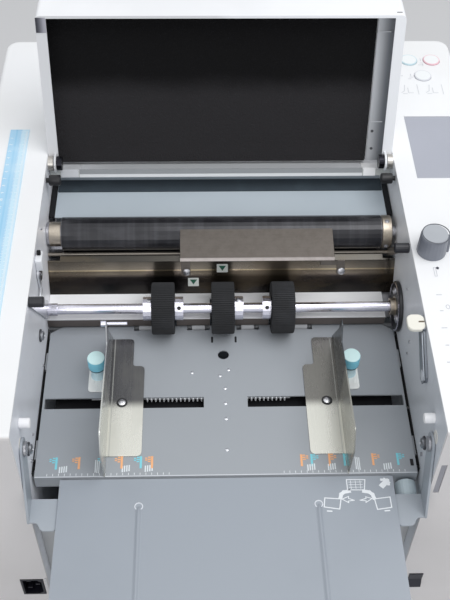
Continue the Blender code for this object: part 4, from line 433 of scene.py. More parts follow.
def rounded(x0, x1, y0, y1, radius, steps=6):
    """Outline of a rectangle with round corners: the corner centres plus a circle, a quarter each."""
    angle = (np.arange(4 * steps) + 0.5) * math.pi / (2 * steps)
    x = (x0 + x1) / 2 + np.sign(np.cos(angle)) * ((x1 - x0) / 2 - radius) + radius * np.cos(angle)
    y = (y0 + y1) / 2 + np.sign(np.sin(angle)) * ((y1 - y0) / 2 - radius) + radius * np.sin(angle)
    return np.stack((x, y), -1)


# Painted shadow: a dark strip across the upper fold plate, under the hood's rear edge, stands for the shadow
# that the open hood casts there.
shadow_strip_finish = worn_rubber("painted_shadow_strip", paint(48, 58, 66), paint(62, 74, 82), 900, 0.9, 0.5, 0.5)
shadow_strip = skin("panel_painted_shadow", [slab(rounded(-165.6, 165.6, 291.6, 309.0, 1), 69.45, 70.4)])
fit(shadow_strip, shadow_strip_finish, "chassis")
# This near-black finish serves the side strips of the fold plate and the switch plunger, and also the dark
# sheets under the feed table that are painted shade in its side gaps and slots.
felt_and_painted_shade = worn_rubber("felt_and_painted_shade", paint(14, 15, 20), paint(30, 32, 36), 900, 0.9, 0.5, 0.3)
side_seals = skin("panel_side_seals", [slab(rounded(min(a, b), max(a, b), 257.0, 310.0, 1), 67.0, 69.0)
                                       for a, b in ((-166.1, -172.1), (166.1, 172.1))])
fit(side_seals, felt_and_painted_shade, "chassis")


# Paper path. A bright rolled plate under the feed shaft, a dark polished cross plate behind it
# with oil-brown stains, and a bent steel guide below.
def bright_sheet():
    """Bright rolled sheet; its top is painted near-white and matt, standing in for the light that the bright
    steel reflects, and its front lip, below the bend at Z = 0.289, is darker and browner.
    """
    made, place = new_finish("bright_sheet")
    lines = place.noise(800, 3, 0.6, (0.02, 1, 1))
    # painted light: the top face above the bend is near-white and non-metallic for the light it reflects
    top = place.part("Z").ease(0.2882, 0.2892)
    tone = top.blend(paint(122, 114, 110), paint(255, 255, 255))
    shade = top.blend(paint(78, 70, 68), paint(246, 247, 252))
    return seal(made, (lines * 0.5).blend(tone, shade), 0.34 + lines * 0.12, (1 - top) * 0.6, lines, 0.1,
                0.00005)


dress(bright_sheet(), "feed_guide_plate")


def oiled_plate():
    """Dark polished steel: streaks along X, with warm brown stains in broad patches."""
    made, place = new_finish("oiled_plate")
    lines = place.noise(800, 3, 0.6, (0.02, 1, 1))
    stains = place.noise(28, 5, 0.6, (0.4, 1, 1)).ease(0.42, 0.7)
    height = (place.part("Z") - 0.289) * (1 / 0.033)
    tones = [(0.0, paint(52, 50, 50)), (0.34, paint(34, 32, 33)), (0.52, paint(44, 41, 40)),
             (0.62, paint(128, 118, 104)), (0.70, paint(118, 108, 94)), (0.73, paint(226, 206, 170)),
             (0.76, paint(150, 140, 126)), (0.88, paint(128, 120, 110)), (0.97, paint(110, 104, 96)),
             (1.0, paint(78, 76, 72))]
    steel = height.node("ValToRGB", {"stops": tones}, {"Fac": height})
    worn = (lines * 0.5).blend(steel, paint(62, 58, 54))
    return seal(made, (stains * 0.5).blend(worn, paint(92, 80, 62)), 0.16 + stains * 0.16 + lines * 0.08,
                0.9, lines, 0.08, 0.00005)


dress(oiled_plate(), "cross_plate")
dress(brushed("guide_steel", paint(170, 170, 174), paint(120, 120, 124), "X", 0.3), "lower_paper_guide")


# Sensor cover. A brushed stainless plate bent down at its rear lip, on two feet held by pan-head
# screws; the brushing runs across the machine.
def on_roof(u, v, w):
    """Turns slab numbers into places on the sloping roof: x, distance behind its front edge, rise."""
    return spot(u, 195.0 + v, 73.5 + v * 6.5 / 32 + w)


def on_cross_plate(x, along, rise):
    """Places on the sloping face of the cross plate: along it from its lower edge, rise off it."""
    c, s = 14.2 / 35.93, 33.0 / 35.93
    return spot(x, 202.3 + along * c - rise * s, 13.0 + along * s + rise * c)


def block(x0, x1, v0, v1):
    """Corners of a rectangle, in turn."""
    return [(x0, v0), (x1, v0), (x1, v1), (x0, v1)]


sensor = skin("sensor_cover_plate", [
    slab(block(-41.0, 107.5, 0.0, 32.0), -1.0, 0.0, 0.25, on_roof),
    slab(block(-41.0, 107.5, 0.0, 3.2), 0.0, 1.0, 0.2, lambda u, v,
         w: spot(u, 194.8 - 0.4 * v + w, 73.5 - v)),
    slab(block(-40.6, -31.6, 46.0, 76.4), 0.0, 1.0, 0.2, lambda u, v, w: spot(u, 215.6 + w, v)),
    slab(block(98.0, 107.0, 46.0, 76.4), 0.0, 1.0, 0.2, lambda u, v, w: spot(u, 215.6 + w, v)),
    slab(block(-40.6, -31.6, 20.9, 35.9), 0.35, 1.3, 0.2, on_cross_plate),
    slab(block(98.0, 114.4, 31.0, 35.9), 0.35, 1.3, 0.2, on_cross_plate),
    slab(block(114.4, 122.4, 20.9, 35.9), 0.35, 1.3, 0.2, on_cross_plate)])
made, place = new_finish("sensor_steel")
lines = place.noise(1100, 3, 0.6, (0.02, 1, 1))
mottle = place.noise(120, 4, 0.7).ease(0.35, 0.75)
# painted highlight: the bent lip is painted far lighter than the roof of the same steel, for the light it
# catches
lip = 1 - place.part("Y").ease(-0.0100, -0.0092)
seal(made, (lines * 0.35 + mottle * 0.25).blend(lip.blend(paint(112, 106, 101), paint(222, 212, 208)),
                                                lip.blend(paint(70, 65, 60), paint(170, 160, 154))),
     0.26 + lines * 0.1 + mottle * 0.08, 0.9, lines, 0.1, 0.00005)
fit(sensor, made, "chassis")
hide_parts("sensor_cover")
cover_screws = skin("cover_screws", [pan_screw(-35.0, 210.9, 36.4, "Z", 1, 3.6, 2.2, 66),
                                     pan_screw(119.0, 210.9, 36.0, "Z", 1, 3.6, 2.2, 66)])
fit(cover_screws, screw_steel, "chassis")


card = moulded("label_card", paint(232, 236, 232), paint(214, 218, 214), 0.5)
labels = skin("plate_labels", [slab(rounded(-34.0, -23.2, 8.6, 17.8, 0.6), 0.05, 0.25, 0.05, on_cross_plate),
                               slab(rounded(-5.2, 5.8, 23.6, 32.6, 0.6), 0.05, 0.25, 0.05, on_cross_plate)])
fit(labels, card, "chassis")
green = moulded("label_green", paint(28, 96, 74), paint(36, 110, 86), 0.5)
wedges = skin("label_wedges", [slab([(x - 3.6, a + 2.4), (x, a - 3.0), (x + 3.6, a + 2.4)], 0.26, 0.36, 0.04,
                                    on_cross_plate) for x, a in ((-28.6, 13.6), (0.3, 28.4))])
fit(wedges, green, "chassis")


# Feed shaft. A ground steel shaft with two clamping collars, three ribbed rubber tyres that pull
# the sheet in, and a black clutch disc against the right frame. Idlers below turn freely.
shaft_steel = brushed("shaft_steel", paint(246, 244, 254), paint(206, 203, 218), "Y", 0.14, 900, 1.0, 0.06)
dress(shaft_steel, "feed_shaft")
tyre_rubber = worn_rubber("tyre_rubber", paint(30, 31, 34), paint(66, 67, 72), 1100, 0.7, 0.3, 0.3)


def tyre(middle):
    """Ribbed tyre round the feed shaft: a closed section carried round the axis, where the outer
    face sinks by up to 0.9 mm with the cosine of 74 times the angle and the side faces stay round."""
    section = np.array([(-11, 5.4), (-11, 9), (-10.4, 9.4), (-10.4, 20.5), (-11, 21), (-11, 24.3),
                        (-10.8, 24.9),
                        (-10.3, 25.3), (-9.6, 25.5), (0, 25.5), (9.6, 25.5), (10.3, 25.3), (10.8, 24.9),
                        (11, 24.3), (11, 21), (10.4, 20.5), (10.4, 9.4), (11, 9), (11, 5.4)], float)
    sides = 74 * 8
    angle = np.linspace(0, 2 * math.pi, sides, endpoint=False)[None, :]
    deep = np.clip((section[:, 1:] - 23.5) / 1.2, 0, 1)
    groove = 0.9 * deep * np.clip(0.5 + 1.1 * np.cos(74 * angle), 0, 1) ** 0.8
    radius = section[:, 1:] - groove
    return spot(middle + section[:, :1] + 0 * angle, 171.5 + radius * np.cos(angle),
                27.0 + radius * np.sin(angle))


tyres = skin("feed_tyres", [tyre(-58.0), tyre(0.0), tyre(58.0)], tube=True, crease=50)
fit(tyres, tyre_rubber, "feed")
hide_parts("feed_roller_left", "feed_roller_centre", "feed_roller_right")

set_screws = skin("collar_set_screws", [pan_screw(-71.3, 171.5, 38.3, "Z", 1, 2.6, 1.3),
                                        pan_screw(14.8, 171.5, 38.3, "Z", 1, 2.6, 1.3)])
fit(set_screws, screw_steel, "feed")
hole_black = moulded("hole_black", paint(14, 14, 15), paint(26, 26, 28), 0.5)
set_holes = skin("collar_holes", [lathe([(11.0, 0), (11.0, 1.9), (11.75, 1.9), (11.6, 1.2), (11.3, 0)],
                                        x, 171.5, 27.0, "Z", 20, 40) for x in (-42.6, 42.6)])
fit(set_holes, hole_black, "feed")
clutch_plastic = moulded("clutch_plastic", paint(26, 27, 32), paint(46, 47, 54), 0.3, 900)
clutch = skin("clutch_disc", [lathe([(168.2, 6.4), (168.2, 22.6), (168.6, 24.0), (169.2, 24.8), (171.4, 25.0),
                                     (172.0, 24.6), (172.0, 6.4)], 0, 171.5, 27.0, sides=96)], tube=True)
fit(clutch, clutch_plastic, "chassis")
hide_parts("feed_clutch")
clutch_ring = skin("clutch_ring",
                   [lathe([(168.0, 22.7), (167.8, 23.2), (168.2, 23.9), (168.6, 23.6), (168.3, 22.7)],
                                         0, 171.5, 27.0, sides=96)], tube=True)
fit(clutch_ring, shaft_steel, "chassis")
clutch_hub = skin("clutch_hub", [lathe([(163.4, 6.4), (163.4, 8.0), (163.8, 8.4), (168.0, 8.4), (168.0, 10.4),
                                        (168.3, 10.4), (168.3, 6.4)], 0, 171.5, 27.0, sides=48)], tube=True)
fit(clutch_hub, bearing_steel, "chassis")
clutch_screws = skin("clutch_screws", [pan_screw(168.2, y, z, "X", -1, 3.7, 2.6)
                                       for y, z in ((177.7, 42.7), (153.1, 29.6), (186.5, 17.0))])
fit(clutch_screws, screw_steel, "chassis")
idler_plastic = moulded("idler_plastic", paint(134, 136, 140), paint(112, 114, 118), 0.4)
dress(idler_plastic, "idler_shaft")
idler_sleeves = skin("idler_sleeves", [
    lathe([(x - 6.6, 3.0), (x - 6.6, 6.3), (x - 6.2, 6.8), (x + 6.2, 6.8), (x + 6.6, 6.3), (x + 6.6, 3.0)],
          0, 173.5, -4.5, sides=40) for x in (-76.5, -24.0, 25.0, 78.0)], tube=True)
fit(idler_sleeves, moulded("idler_grey", paint(176, 178, 182), paint(150, 152, 156), 0.4), "idlers")


# Feed table. A steel tray with two long slots, grey enamel over a fine texture, its print of
# white ticks and coloured sheet marks silk-screened along the front edge.
table_enamel = moulded("table_enamel", paint(160, 165, 171), paint(148, 153, 159), 0.36, 1000, 0.14)
dress(table_enamel, "feed_table")


def marks(name, rows, height, colour, body="chassis", gloss=0.45):
    """Flat printed bars; the line along the table's front edge is laid the same way and is a painted
    highlight. Each row is x, y, width, depth and slant in degrees, in millimetres; the four corners are the
    half sizes turned by the slant and added to the middle. Rows lie a hundredth of a millimetre apart in
    height, so bars that cross never share a plane."""
    rows = np.array(rows, float)
    corners = np.array(((-1, -1), (1, -1), (1, 1), (-1, 1))) / 2
    flat = corners[None] * rows[:, None, 2:4]
    c, s = np.cos(np.radians(rows[:, 4:5])), np.sin(np.radians(rows[:, 4:5]))
    x = rows[:, :1] + flat[..., 0] * c - flat[..., 1] * s
    y = rows[:, 1:2] + flat[..., 0] * s + flat[..., 1] * c
    level = height + 276 + 0.012 * (np.arange(len(rows)) % 9)[:, None]
    grid = np.stack((x - 12.5, y - 204.5, level + 0 * x), -1) / 1000
    mesh = bpy.data.meshes.new(name)
    mesh.from_pydata(grid.reshape(-1, 3).tolist(), [], np.arange(grid.shape[0] * 4).reshape(-1, 4).tolist())
    piece = bpy.data.objects.new(name, mesh)
    bpy.context.scene.collection.objects.link(piece)
    made, place = new_finish(name + "_ink")
    wear = place.noise(900, 3).ease(0.5, 0.8)
    seal(made, (wear * 0.25).blend(colour, tuple(0.8 * v for v in colour[:3]) + (1.0,)), gloss + wear * 0.1)
    return fit(piece, made, body)


ticks = [(side * (51 + 5.14 * k), 2.7, 0.5, 2.4, 0) for side in (-1, 1) for k in range(22)]
marks("table_ticks", ticks, 0.12, paint(236, 240, 242))


def sheet_mark(x, y=14.5, tall=12.5, side=1):
    """Rows of one sheet mark: an upright, and beside it two short stacks of fine bars."""
    rows = [(x, y, 2.0, tall, 0)]
    rows += [(x + side * (2.4 + 0.1 * k), y + 5.2 - 2.2 * k, 2.4 + 0.5 * (k % 2), 1.3, 0) for k in range(3)]
    return rows + [(x + side * 5.3, y + 4.2 - 2.0 * k, 2.0, 1.2, 0) for k in range(2)]


cyan = [row for x, side in ((-151.6, -1), (-108.8, -1), (-76.4, -1), (76.6, 1), (106, 1), (154, 1))
        for row in sheet_mark(x, side=side)]
marks("table_cyan_marks", cyan, 0.12, paint(132, 214, 228))
orange = [row for x, side in ((-131.4, -1), (-93.4, -1), (-66.4, -1), (67.4, 1), (92.6, 1), (131.6, 1))
          for row in sheet_mark(x, side=side)]
marks("table_orange_marks", orange, 0.12, paint(246, 182, 132))
white = [(x + 2.0 * k, y + 0.3 * k, 1.2, 6.4, 0) for x, y in ((-148.2, 7.6), (-92.6, 7.8), (-72.2, 7.8),
         (72.6, 6.8), (91.0, 7.0), (141.0, 6.8)) for k in range(4)]
white += [(x + 1.6 * k, 11.0 - 0.4 * k, 1.0, 13.0, 0) for x in (-116.6, 115.8) for k in range(3)]
marks("table_white_marks", white, 0.12, paint(228, 234, 238))

# Painted highlight: a light line along the table's front edge, laid as a printed bar.
marks("table_front_edge", [(0, 0.6, 339.0, 0.8, 0)], 0.1, paint(216, 220, 226))
# Painted shade: near-black strips under the table's side gaps and along the frames beside its edges stand for
# the shade in those gaps.
gap_shade_strips = skin("table_gap_painted_shade", [slab(block(min(a, b), max(a, b), 12.0, 160.0), -7.0, -5.0)
                                   for a, b in ((-170.4, -FRAME_FACE), (170.4, FRAME_FACE))]
                + [slab(block(min(a, b), max(a, b), 4.0, 168.0), -5.0, 1.3, 0.1)
                   for a, b in ((-171.9, -172.4), (171.9, 172.4))])
fit(gap_shade_strips, felt_and_painted_shade, "chassis")
# Painted shade: a near-black sheet under the table's slots stands for the shade seen through them.
slot_shade = skin("table_slot_shade", [slab(block(-160, 160, 60, 96), -12.2, -11.6)])
fit(slot_shade, felt_and_painted_shade, "chassis")

rivet_steel = brushed("rivet_steel", paint(236, 238, 242), paint(196, 198, 204), "Y", 0.22, 1500)
rivets = skin("table_rivets", [pan_screw(x, y, 0.05, "Z", 1, 1.5, 0.7) for x, y in
                               ((-30.5, 113), (4.5, 116), (-3.8, 109), (0.7, 94.3), (0.7, 77), (0.8, 59.8),
                                (0.8, 26.3))])
fit(rivets, rivet_steel, "chassis")
slots = skin("table_separator_slots", [slab(rounded(x - 1.0, x + 1.0, 149.6, 157.2, 0.8), 0.03, 0.1, 0.02)
                                       for x in (-10.7, 12.5)]
             + [slab(rounded(164.8, 167.8, 7.5, 14.5, 0.4), 0.03, 0.1, 0.02)])
fit(slots, moulded("slot_black", paint(16, 16, 20), paint(30, 30, 34), 0.6), "chassis")


# Racks and pinion. Moulded racks under the table, tied to the guides, and a nylon pinion that
# keeps both guides the same distance from the centre line.
def rack_plastic():
    """Dark moulded bar whose teeth, near the pinion's line, are painted light grey as a highlight where light
    catches them.
    """
    made, place = new_finish("rack_plastic")
    grains = place.noise(900, 2)
    off = place.part("Y") + 0.127
    # painted highlight on the teeth
    teeth = 1 - off.maths("ABSOLUTE", off).ease(0.0094, 0.0098)
    return seal(made, (grains * 0.2).blend(teeth.blend(paint(24, 24, 30), paint(226, 228, 232)),
                                           paint(70, 72, 76)),
                0.4 + grains * 0.08, relief=grains, strength=0.1, depth=0.0001)


dress(rack_plastic(), "left_rack", "right_rack")
dress(moulded("nylon", paint(226, 224, 214), paint(208, 206, 196), 0.36), "pinion")


# Side guides. Bent stainless sheets that stand at the paper's edges, mirror-finished with a fine
# grain, each clamped by a turned cyan knob.
def guide_sheet(name, rear, fence_rear, fence_front):
    """Bent stainless sheet. The front of its foot is pale and the rear is darker, with the change at the
    clamp screw; the upright fence has its own two tones, a painted reflection of the dark surroundings, a
    painted highlight runs along the bend, and the outer ear is painted near-white and nearly matt for the
    light it reflects."""
    made, place = new_finish(name)
    lines = place.noise(1000, 3, 0.6, (1, 0.02, 1))
    patches = place.noise(40, 4, 0.6, (1, 0.4, 1)).ease(0.4, 0.72)
    front = 1 - place.part("Y").ease(-0.1345, -0.1225)
    x = place.part("X") + 0.0125
    out = x.maths("ABSOLUTE", x)
    # painted light: the ear is made pale and nearly matt for the light it reflects
    ear = out.ease(0.1098, 0.1103)
    # painted highlight along the bend between foot and fence
    bend = out.ease(0.1046, 0.1050) * (1 - out.ease(0.1056, 0.1060))
    upright = place.part("Z").ease(0.2785, 0.2800)
    pale, shade = paint(230, 229, 220), paint(206, 205, 194)
    foot = (front + ear - front * ear).blend(rear, pale)
    # painted reflection: the fence's tones stand for the dark surroundings it reflects
    tone = upright.blend((bend * 0.7).blend(foot, paint(196, 196, 190)), front.blend(fence_rear, fence_front))
    dull = tuple(0.62 * v for v in shade[:3]) + (1.0,)
    return seal(made, ((lines * 0.16 + patches * 0.14) * (1 - ear)).blend(ear.blend(tone, paint(250, 251,
                                                                                                248)), dull),
                0.22 + lines * 0.08 + patches * 0.08, 0.75 - ear * 0.65, lines, 0.03, 0.00002)


def soften(points, radii, steps=5):
    """Outline with round corners: at each corner c a parabola (1-t)^2 a + 2t(1-t) c + t^2 b runs between
    the places a and b that lie the corner's radius away along its two sides."""
    corner, reach = np.array(points, float), np.array(radii, float)[:, None]
    back, ahead = np.roll(corner, 1, 0) - corner, np.roll(corner, -1, 0) - corner
    a = corner + back / np.linalg.norm(back, axis=1, keepdims=True) * reach
    b = corner + ahead / np.linalg.norm(ahead, axis=1, keepdims=True) * reach
    t = np.linspace(0, 1, steps)[None, :, None]
    curve = (1 - t) ** 2 * a[:, None] + 2 * t * (1 - t) * corner[:, None] + t ** 2 * b[:, None]
    return curve.reshape(-1, 2)


foot = soften([(76, 20.5), (76, 121), (87, 121), (87, 154), (108.1, 154), (108.1, 20.5)],
              (4.5, 4.5, 3.5, 4, 0.5, 1))
ear = soften([(107.9, 91.4), (128.5, 91.4), (128.5, 120), (107.9, 120)], (0.5, 3.8, 3.8, 0.5))
fence = soften([(0, 3), (-4.9, 42), (6, 62), (60, 56), (110, 50), (118, 65), (124, 65), (128, 48), (154, 4),
                (154, 0.4), (0, 0.4)], (0.4, 2, 3, 3, 2, 1.2, 1.2, 3, 0.6, 0.3, 0.3))
sheets = {"left": guide_sheet("left_guide_sheet", paint(82, 82, 86), paint(166, 168, 172),
                              paint(206, 208, 204)),
          "right": guide_sheet("right_guide_sheet", paint(126, 124, 120), paint(58, 64, 72),
                               paint(150, 150, 144))}
for side, name in ((-1, "left"), (1, "right")):
    bent = skin(name + "_guide_bent", [
        slab(foot * (side, 1), 0.3, 1.5, 0.15, middle=(side * 95, 85)), slab(ear * (side, 1), 0.3, 1.5, 0.15),
        slab(fence, 0, 1.2, 0.15, lambda u, v, w, side=side: spot(side * (107.5 + w), u, v), (115, 25)),
        lathe([(-1.2, 0), (-1.2, 3), (1.2, 3), (1.2, 0)], side * 95, 79, 0, "Z")])
    fit(bent, sheets[name], name + "_guide_set")
    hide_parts(name + "_guide")


def knob_finish():
    """Cyan plastic, with a painted highlight that makes the flat top paler."""
    made, place = new_finish("knob_cyan")
    grains = place.noise(900, 2)
    worn = place.noise(60, 3).ease(0.4, 0.75)
    # painted highlight: the flat top is paler than the sides
    top = place.part("Z").ease(0.3040, 0.3048)
    tone = top.blend(paint(146, 228, 250), paint(224, 255, 255))
    return seal(made, (worn * 0.3).blend(tone, top.blend(paint(138, 218, 240), paint(212, 250, 255))),
                0.34 + grains * 0.1, relief=grains, strength=0.1, depth=0.0001)


knob_cyan = knob_finish()
stem_cyan = moulded("knob_stem", paint(220, 248, 255), paint(204, 236, 246), 0.2, 900)
# painted shade: this dark blue is for a band that stands for the shaded gap at the foot of each cap
gap_shade_blue = moulded("knob_gap_shade", paint(24, 66, 82), paint(36, 84, 100), 0.4, 900)
for side, name, body in ((-1, "left", "left_lock"), (1, "right", "right_lock")):
    x = side * 119.8
    cap = skin(name + "_knob_cap", [lathe([(16.4, 0), (16.4, 7.5), (16.9, 8.1), (28.2, 8.2), (28.8, 7.9),
                                           (29, 7.3), (29, 0)], x, 110.5, 0, "Z", 64)])
    fit(cap, knob_cyan, body)
    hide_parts(name + "_lock_knob")
    band = skin(name + "_knob_band", [lathe([(14.6, 0), (14.6, 7.3), (14.9, 7.7), (16.1, 7.7), (16.4, 7.3),
                                             (16.4, 0)], x, 110.5, 0, "Z", 64)])
    fit(band, gap_shade_blue, body)
    stem = skin(name + "_knob_stem", [lathe([(0.65, 0), (0.65, 6.6), (1.2, 6.9), (2.6, 6.2), (14.65, 5.9),
                                             (14.65, 0)], x, 110.5, 0, "Z", 48)])
    fit(stem, stem_cyan, body)

nut_steel = brushed("nut_steel", paint(232, 232, 234), paint(180, 180, 184), "Y", 0.24, 1500)
for side, name in ((-1, "left"), (1, "right")):
    washer = skin(name + "_guide_washer",
                  [lathe([(1.25, 2.8), (1.25, 4.9), (1.45, 5.1), (1.75, 5.1), (1.95, 4.9),
                                                  (1.95, 2.8)], side * 95.9, 78.3, 0, "Z", 40)], tube=True)
    fit(washer, moulded(name + "_washer_black", paint(34, 34, 36), paint(50, 50, 52), 0.4),
        name + "_guide_set")
    screw = skin(name + "_guide_screw", [pan_screw(side * 95.9, 78.3, 1.3, "Z", 1, 3.4, 1.9)])
    fit(screw, nut_steel, name + "_guide_set")
pin_steel = brushed("pin_steel", paint(240, 240, 250), paint(206, 206, 222), "X", 0.16, 1500)
horn_pin = skin("horn_pin", [lathe([(-6.4, 0), (-6.4, 2.6), (-5.9, 3.0), (-1.6, 3.0), (-1.2, 2.6),
                                    (-1.2, 1.7),
                                    (17.2, 1.7), (17.9, 1.2), (18.1, 0)], -107.0, 124.4, 62.0, "X", 28)])
fit(horn_pin, pin_steel, "left_guide_set")


# Extension table. A folded steel leaf in the table's enamel with two pressed beads, hung on two
# bent steel arms that swing it up over the feed table.
leaf_enamel = moulded("leaf_enamel", paint(156, 163, 172), paint(146, 153, 162), 0.36, 1000, 0.14)
dress(leaf_enamel, "extension_table")
arm_enamel = moulded("arm_enamel", paint(166, 173, 181), paint(148, 154, 162), 0.34, 800, 0.1)
pivot, angle = np.array((-7.0, 58.5)), np.radians(np.linspace(157.4, -21.5, 19))[:, None]
web = np.concatenate((pivot + 10 * np.concatenate((np.cos(angle), np.sin(angle)), 1),
                      [(-20, -1.8), (-20, -3.8), (-43, -3.8), (-43, -1.8)]))
web = (web[:, None] + (np.arange(6) / 6)[:, None] * (np.roll(web, -1, 0) - web)[:, None]).reshape(-1, 2)
out = (web - pivot) / np.linalg.norm(web - pivot, axis=1, keepdims=True)
bore, eased = pivot + 4.7 * out, web - 0.3 * out
rings = np.stack((bore, eased, web, web, eased, bore))
level = np.array((170.0, 170.0, 170.3, 171.7, 172.0, 172.0))[:, None] + 0 * rings[..., 0]
lobe = soften([(171.8, -20), (171.8, -42.6), (163.0, -42.6), (160.2, -50.5), (147.3, -50.5), (147.3, -20)],
              (0.5, 1.5, 3.6, 4.2, 2.2, 0.5))
for side, name in ((-1, "left"), (1, "right")):
    arm = skin(name + "_arm_web", [spot(side * level, rings[..., 0], rings[..., 1])], tube=True)
    fit(arm, arm_enamel, "extension")
    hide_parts(name + "_arm")
    arm_foot = skin(name + "_arm_foot", [slab(lobe * (side, 1), -3.8, -1.8, 0.25, middle=(side * 156, -32))])
    fit(arm_foot, arm_enamel, "extension")


def bead(x0, y0, x1, y1, half, rise):
    """Grid of a pressed bead: across it the height is rise times cosine squared, along it the width
    fades to nothing at both ends as the square root of a half circle."""
    t = np.linspace(0, 1, 60)[:, None]
    v = np.linspace(-1, 1, 13)[None, :]
    length = abs(y1 - y0)
    near_end = np.minimum(t, 1 - t) * length / half
    width = half * np.sqrt(np.clip(1 - (1 - np.clip(near_end, 0, 1)) ** 2, 0, 1))
    x = x0 + (x1 - x0) * t + width * v
    y = y0 + (y1 - y0) * t + 0 * v
    z = 0.05 + rise * np.cos(v * math.pi / 2) ** 2 * width / half
    return np.stack((x - 12.5, y - 204.5, z + 276), -1) / 1000


beads = skin("leaf_beads", [bead(-76.9, -29, -77.4, -237, 3.0, 1.5), bead(79.2, -29, 80.0, -237, 3.0, 1.5)],
             ring=False, crease=60, keep_way=True)
fit(beads, leaf_enamel, "extension")
bead_ends = skin("leaf_bead_ends",
                 [lathe([(0.02, 3.6), (0.02, 3.9), (0.5, 3.7), (0.6, 3.2), (0.02, 2.8)], x, y, 0,
                                          "Z", 28) for x, y in ((-76.9, -29.6), (79.2, -29.6))], tube=True)
fit(bead_ends, moulded("bead_highlight", paint(226, 230, 236), paint(206, 210, 216), 0.3), "extension")


def strokes(points, width, closed=True):
    """Rows of bars along a chain of points: each bar's middle, length and slant come from two
    neighbours."""
    points = np.array(points, float)
    after = np.roll(points, -1, 0) if closed else points[1:]
    before = points if closed else points[:-1]
    middle, run = (before + after) / 2, after - before
    slant = np.degrees(np.arctan2(run[:, 1], run[:, 0]))
    return np.stack((middle[:, 0], middle[:, 1], np.hypot(run[:, 0], run[:, 1]) + width * 0.8,
                     np.full(len(run), width), slant), -1).tolist()


picture = strokes([(105.6, -6.0), (122.0, -6.3), (120.4, -16.6), (105.6, -16.3)], 0.9)
picture += [(113.2, -8.6 - 2.6 * k, 12.5, 0.5, 0) for k in range(3)]
picture += [(109.0 + 4.2 * k, -11.2, 0.5, 8.4, 0) for k in range(3)]
picture += strokes([(84.9, -23.9), (99.0, -25.1), (96.9, -35.0), (83.6, -32.7)], 1.0)
picture += strokes([(128.2, -25.6), (142.0, -23.9), (142.2, -34.1), (129.6, -35.9)], 1.0)
picture += [(88.0, -36.8, 4.8, 1.2, -4), (138.0, -37.2, 5.0, 1.2, 4)]
picture += strokes([(107.0, -17.6), (102.2, -18.4), (99.6, -20.6), (98.6, -24.0)], 3.4, False)
picture += strokes([(119.6, -17.8), (124.4, -18.8), (127.0, -21.2), (128.0, -25.0)], 3.4, False)
picture += strokes([(99.9, -25.4), (105.8, -22.8), (105.6, -24.8), (110.4, -26.6), (105.0, -27.4),
                    (105.4, -29.0)],
                   0.8)
picture += strokes([(126.1, -25.2), (120.8, -23.4), (120.9, -25.0), (115.4, -26.7), (120.6, -27.4),
                    (120.4, -28.9)], 0.8)
picture += [(137.6, -11.6, 6.5, 5.0, 45), (140.6, -8.2, 3.4, 7.4, 45), (139.0, -6.6, 7.0, 2.4, 0),
            (142.4, -9.2, 2.4, 6.6, 0)]
marks("leaf_pictograms", picture, 0.12, paint(234, 238, 242), "extension")


# Hood. A folded white cover that stands open, lined with a speckled black foam sheet cut square
# and glued in, which deadens the noise of the rollers.
def hood_enamel():
    """White enamel outside; the rims of the mouth are grey, darker on the left half than the right and
    darkest near the hinge. depth and reach are the place on the hood from its hinge, from Y and Z turned by
    the 105 degrees that it stands open."""
    made, place = new_finish("hood_enamel")
    clouds = place.noise(10, 4).ease(0.42, 0.72)
    grains = place.noise(900, 2)
    y, z = place.part("Y") - 0.0925, place.part("Z") - 0.380
    depth, reach = y * 0.9659 - z * 0.2588, y * 0.2588 + z * 0.9659
    rim = 1 - depth.ease(0.0052, 0.0056)
    sides = place.part("X").ease(-0.02, 0.0).blend(paint(214, 215, 218), paint(236, 238, 242))
    rims = reach.ease(-0.0095, -0.0085).blend(paint(196, 199, 197), sides)
    tone = rim.blend(paint(240, 241, 244), rims)
    return seal(made, (clouds * 0.3).blend(tone, paint(216, 217, 220)), 0.38 + clouds * 0.08, relief=grains,
                strength=0.1, depth=0.0001)


dress(hood_enamel(), "top_cover")


def hood_spot(x, reach, depth):
    """A place on the open hood from its closed place: reach forward of the hinge and depth above it,
    turned back by 105 degrees about the hinge line."""
    turn = math.radians(105)
    y = -reach * math.cos(turn) + depth * math.sin(turn)
    z = reach * math.sin(turn) + depth * math.cos(turn)
    return np.stack(np.broadcast_arrays((x - 12.5) / 1000, y / 1000 + 0.0925, z / 1000 + 0.380), -1)


def foam_slab():
    """Foam sheet: over a grid across and along it, the soft face stands off the cover by its
    thickness, less a rounded edge and a shallow quilted wave; the back is flat."""
    u = np.linspace(-166, 150, 150)[:, None]
    v = np.linspace(-13, 142, 82)[None, :]
    edge = np.minimum(np.minimum(u + 166, 150 - u), np.minimum(v + 13, 142 - v))
    round_off = np.sqrt(np.clip(1 - (1 - np.clip(edge / 2.2, 0, 1)) ** 2, 0, 1))
    wave = 0.25 * np.sin(u / 23) * np.sin(v / 17 + u / 90)
    face = 32.1 - 7.2 * round_off - wave * round_off * np.clip(edge / 12, 0, 1)
    soft = hood_spot(u, v, face)
    back = hood_spot(u, v, np.full_like(face, 32.1))
    return skin("foam_sheet", [soft, back], ring=False, crease=70)


foam_finish, place = new_finish("foam_black")
cells = place.node("TexVoronoi", {"feature": "F1"}, {"Vector": place, "Scale": 620.0})
speck = place.noise(1300, 2).ease(0.58, 0.74)
dust = place.noise(420, 3, 0.7).ease(0.6, 0.8)
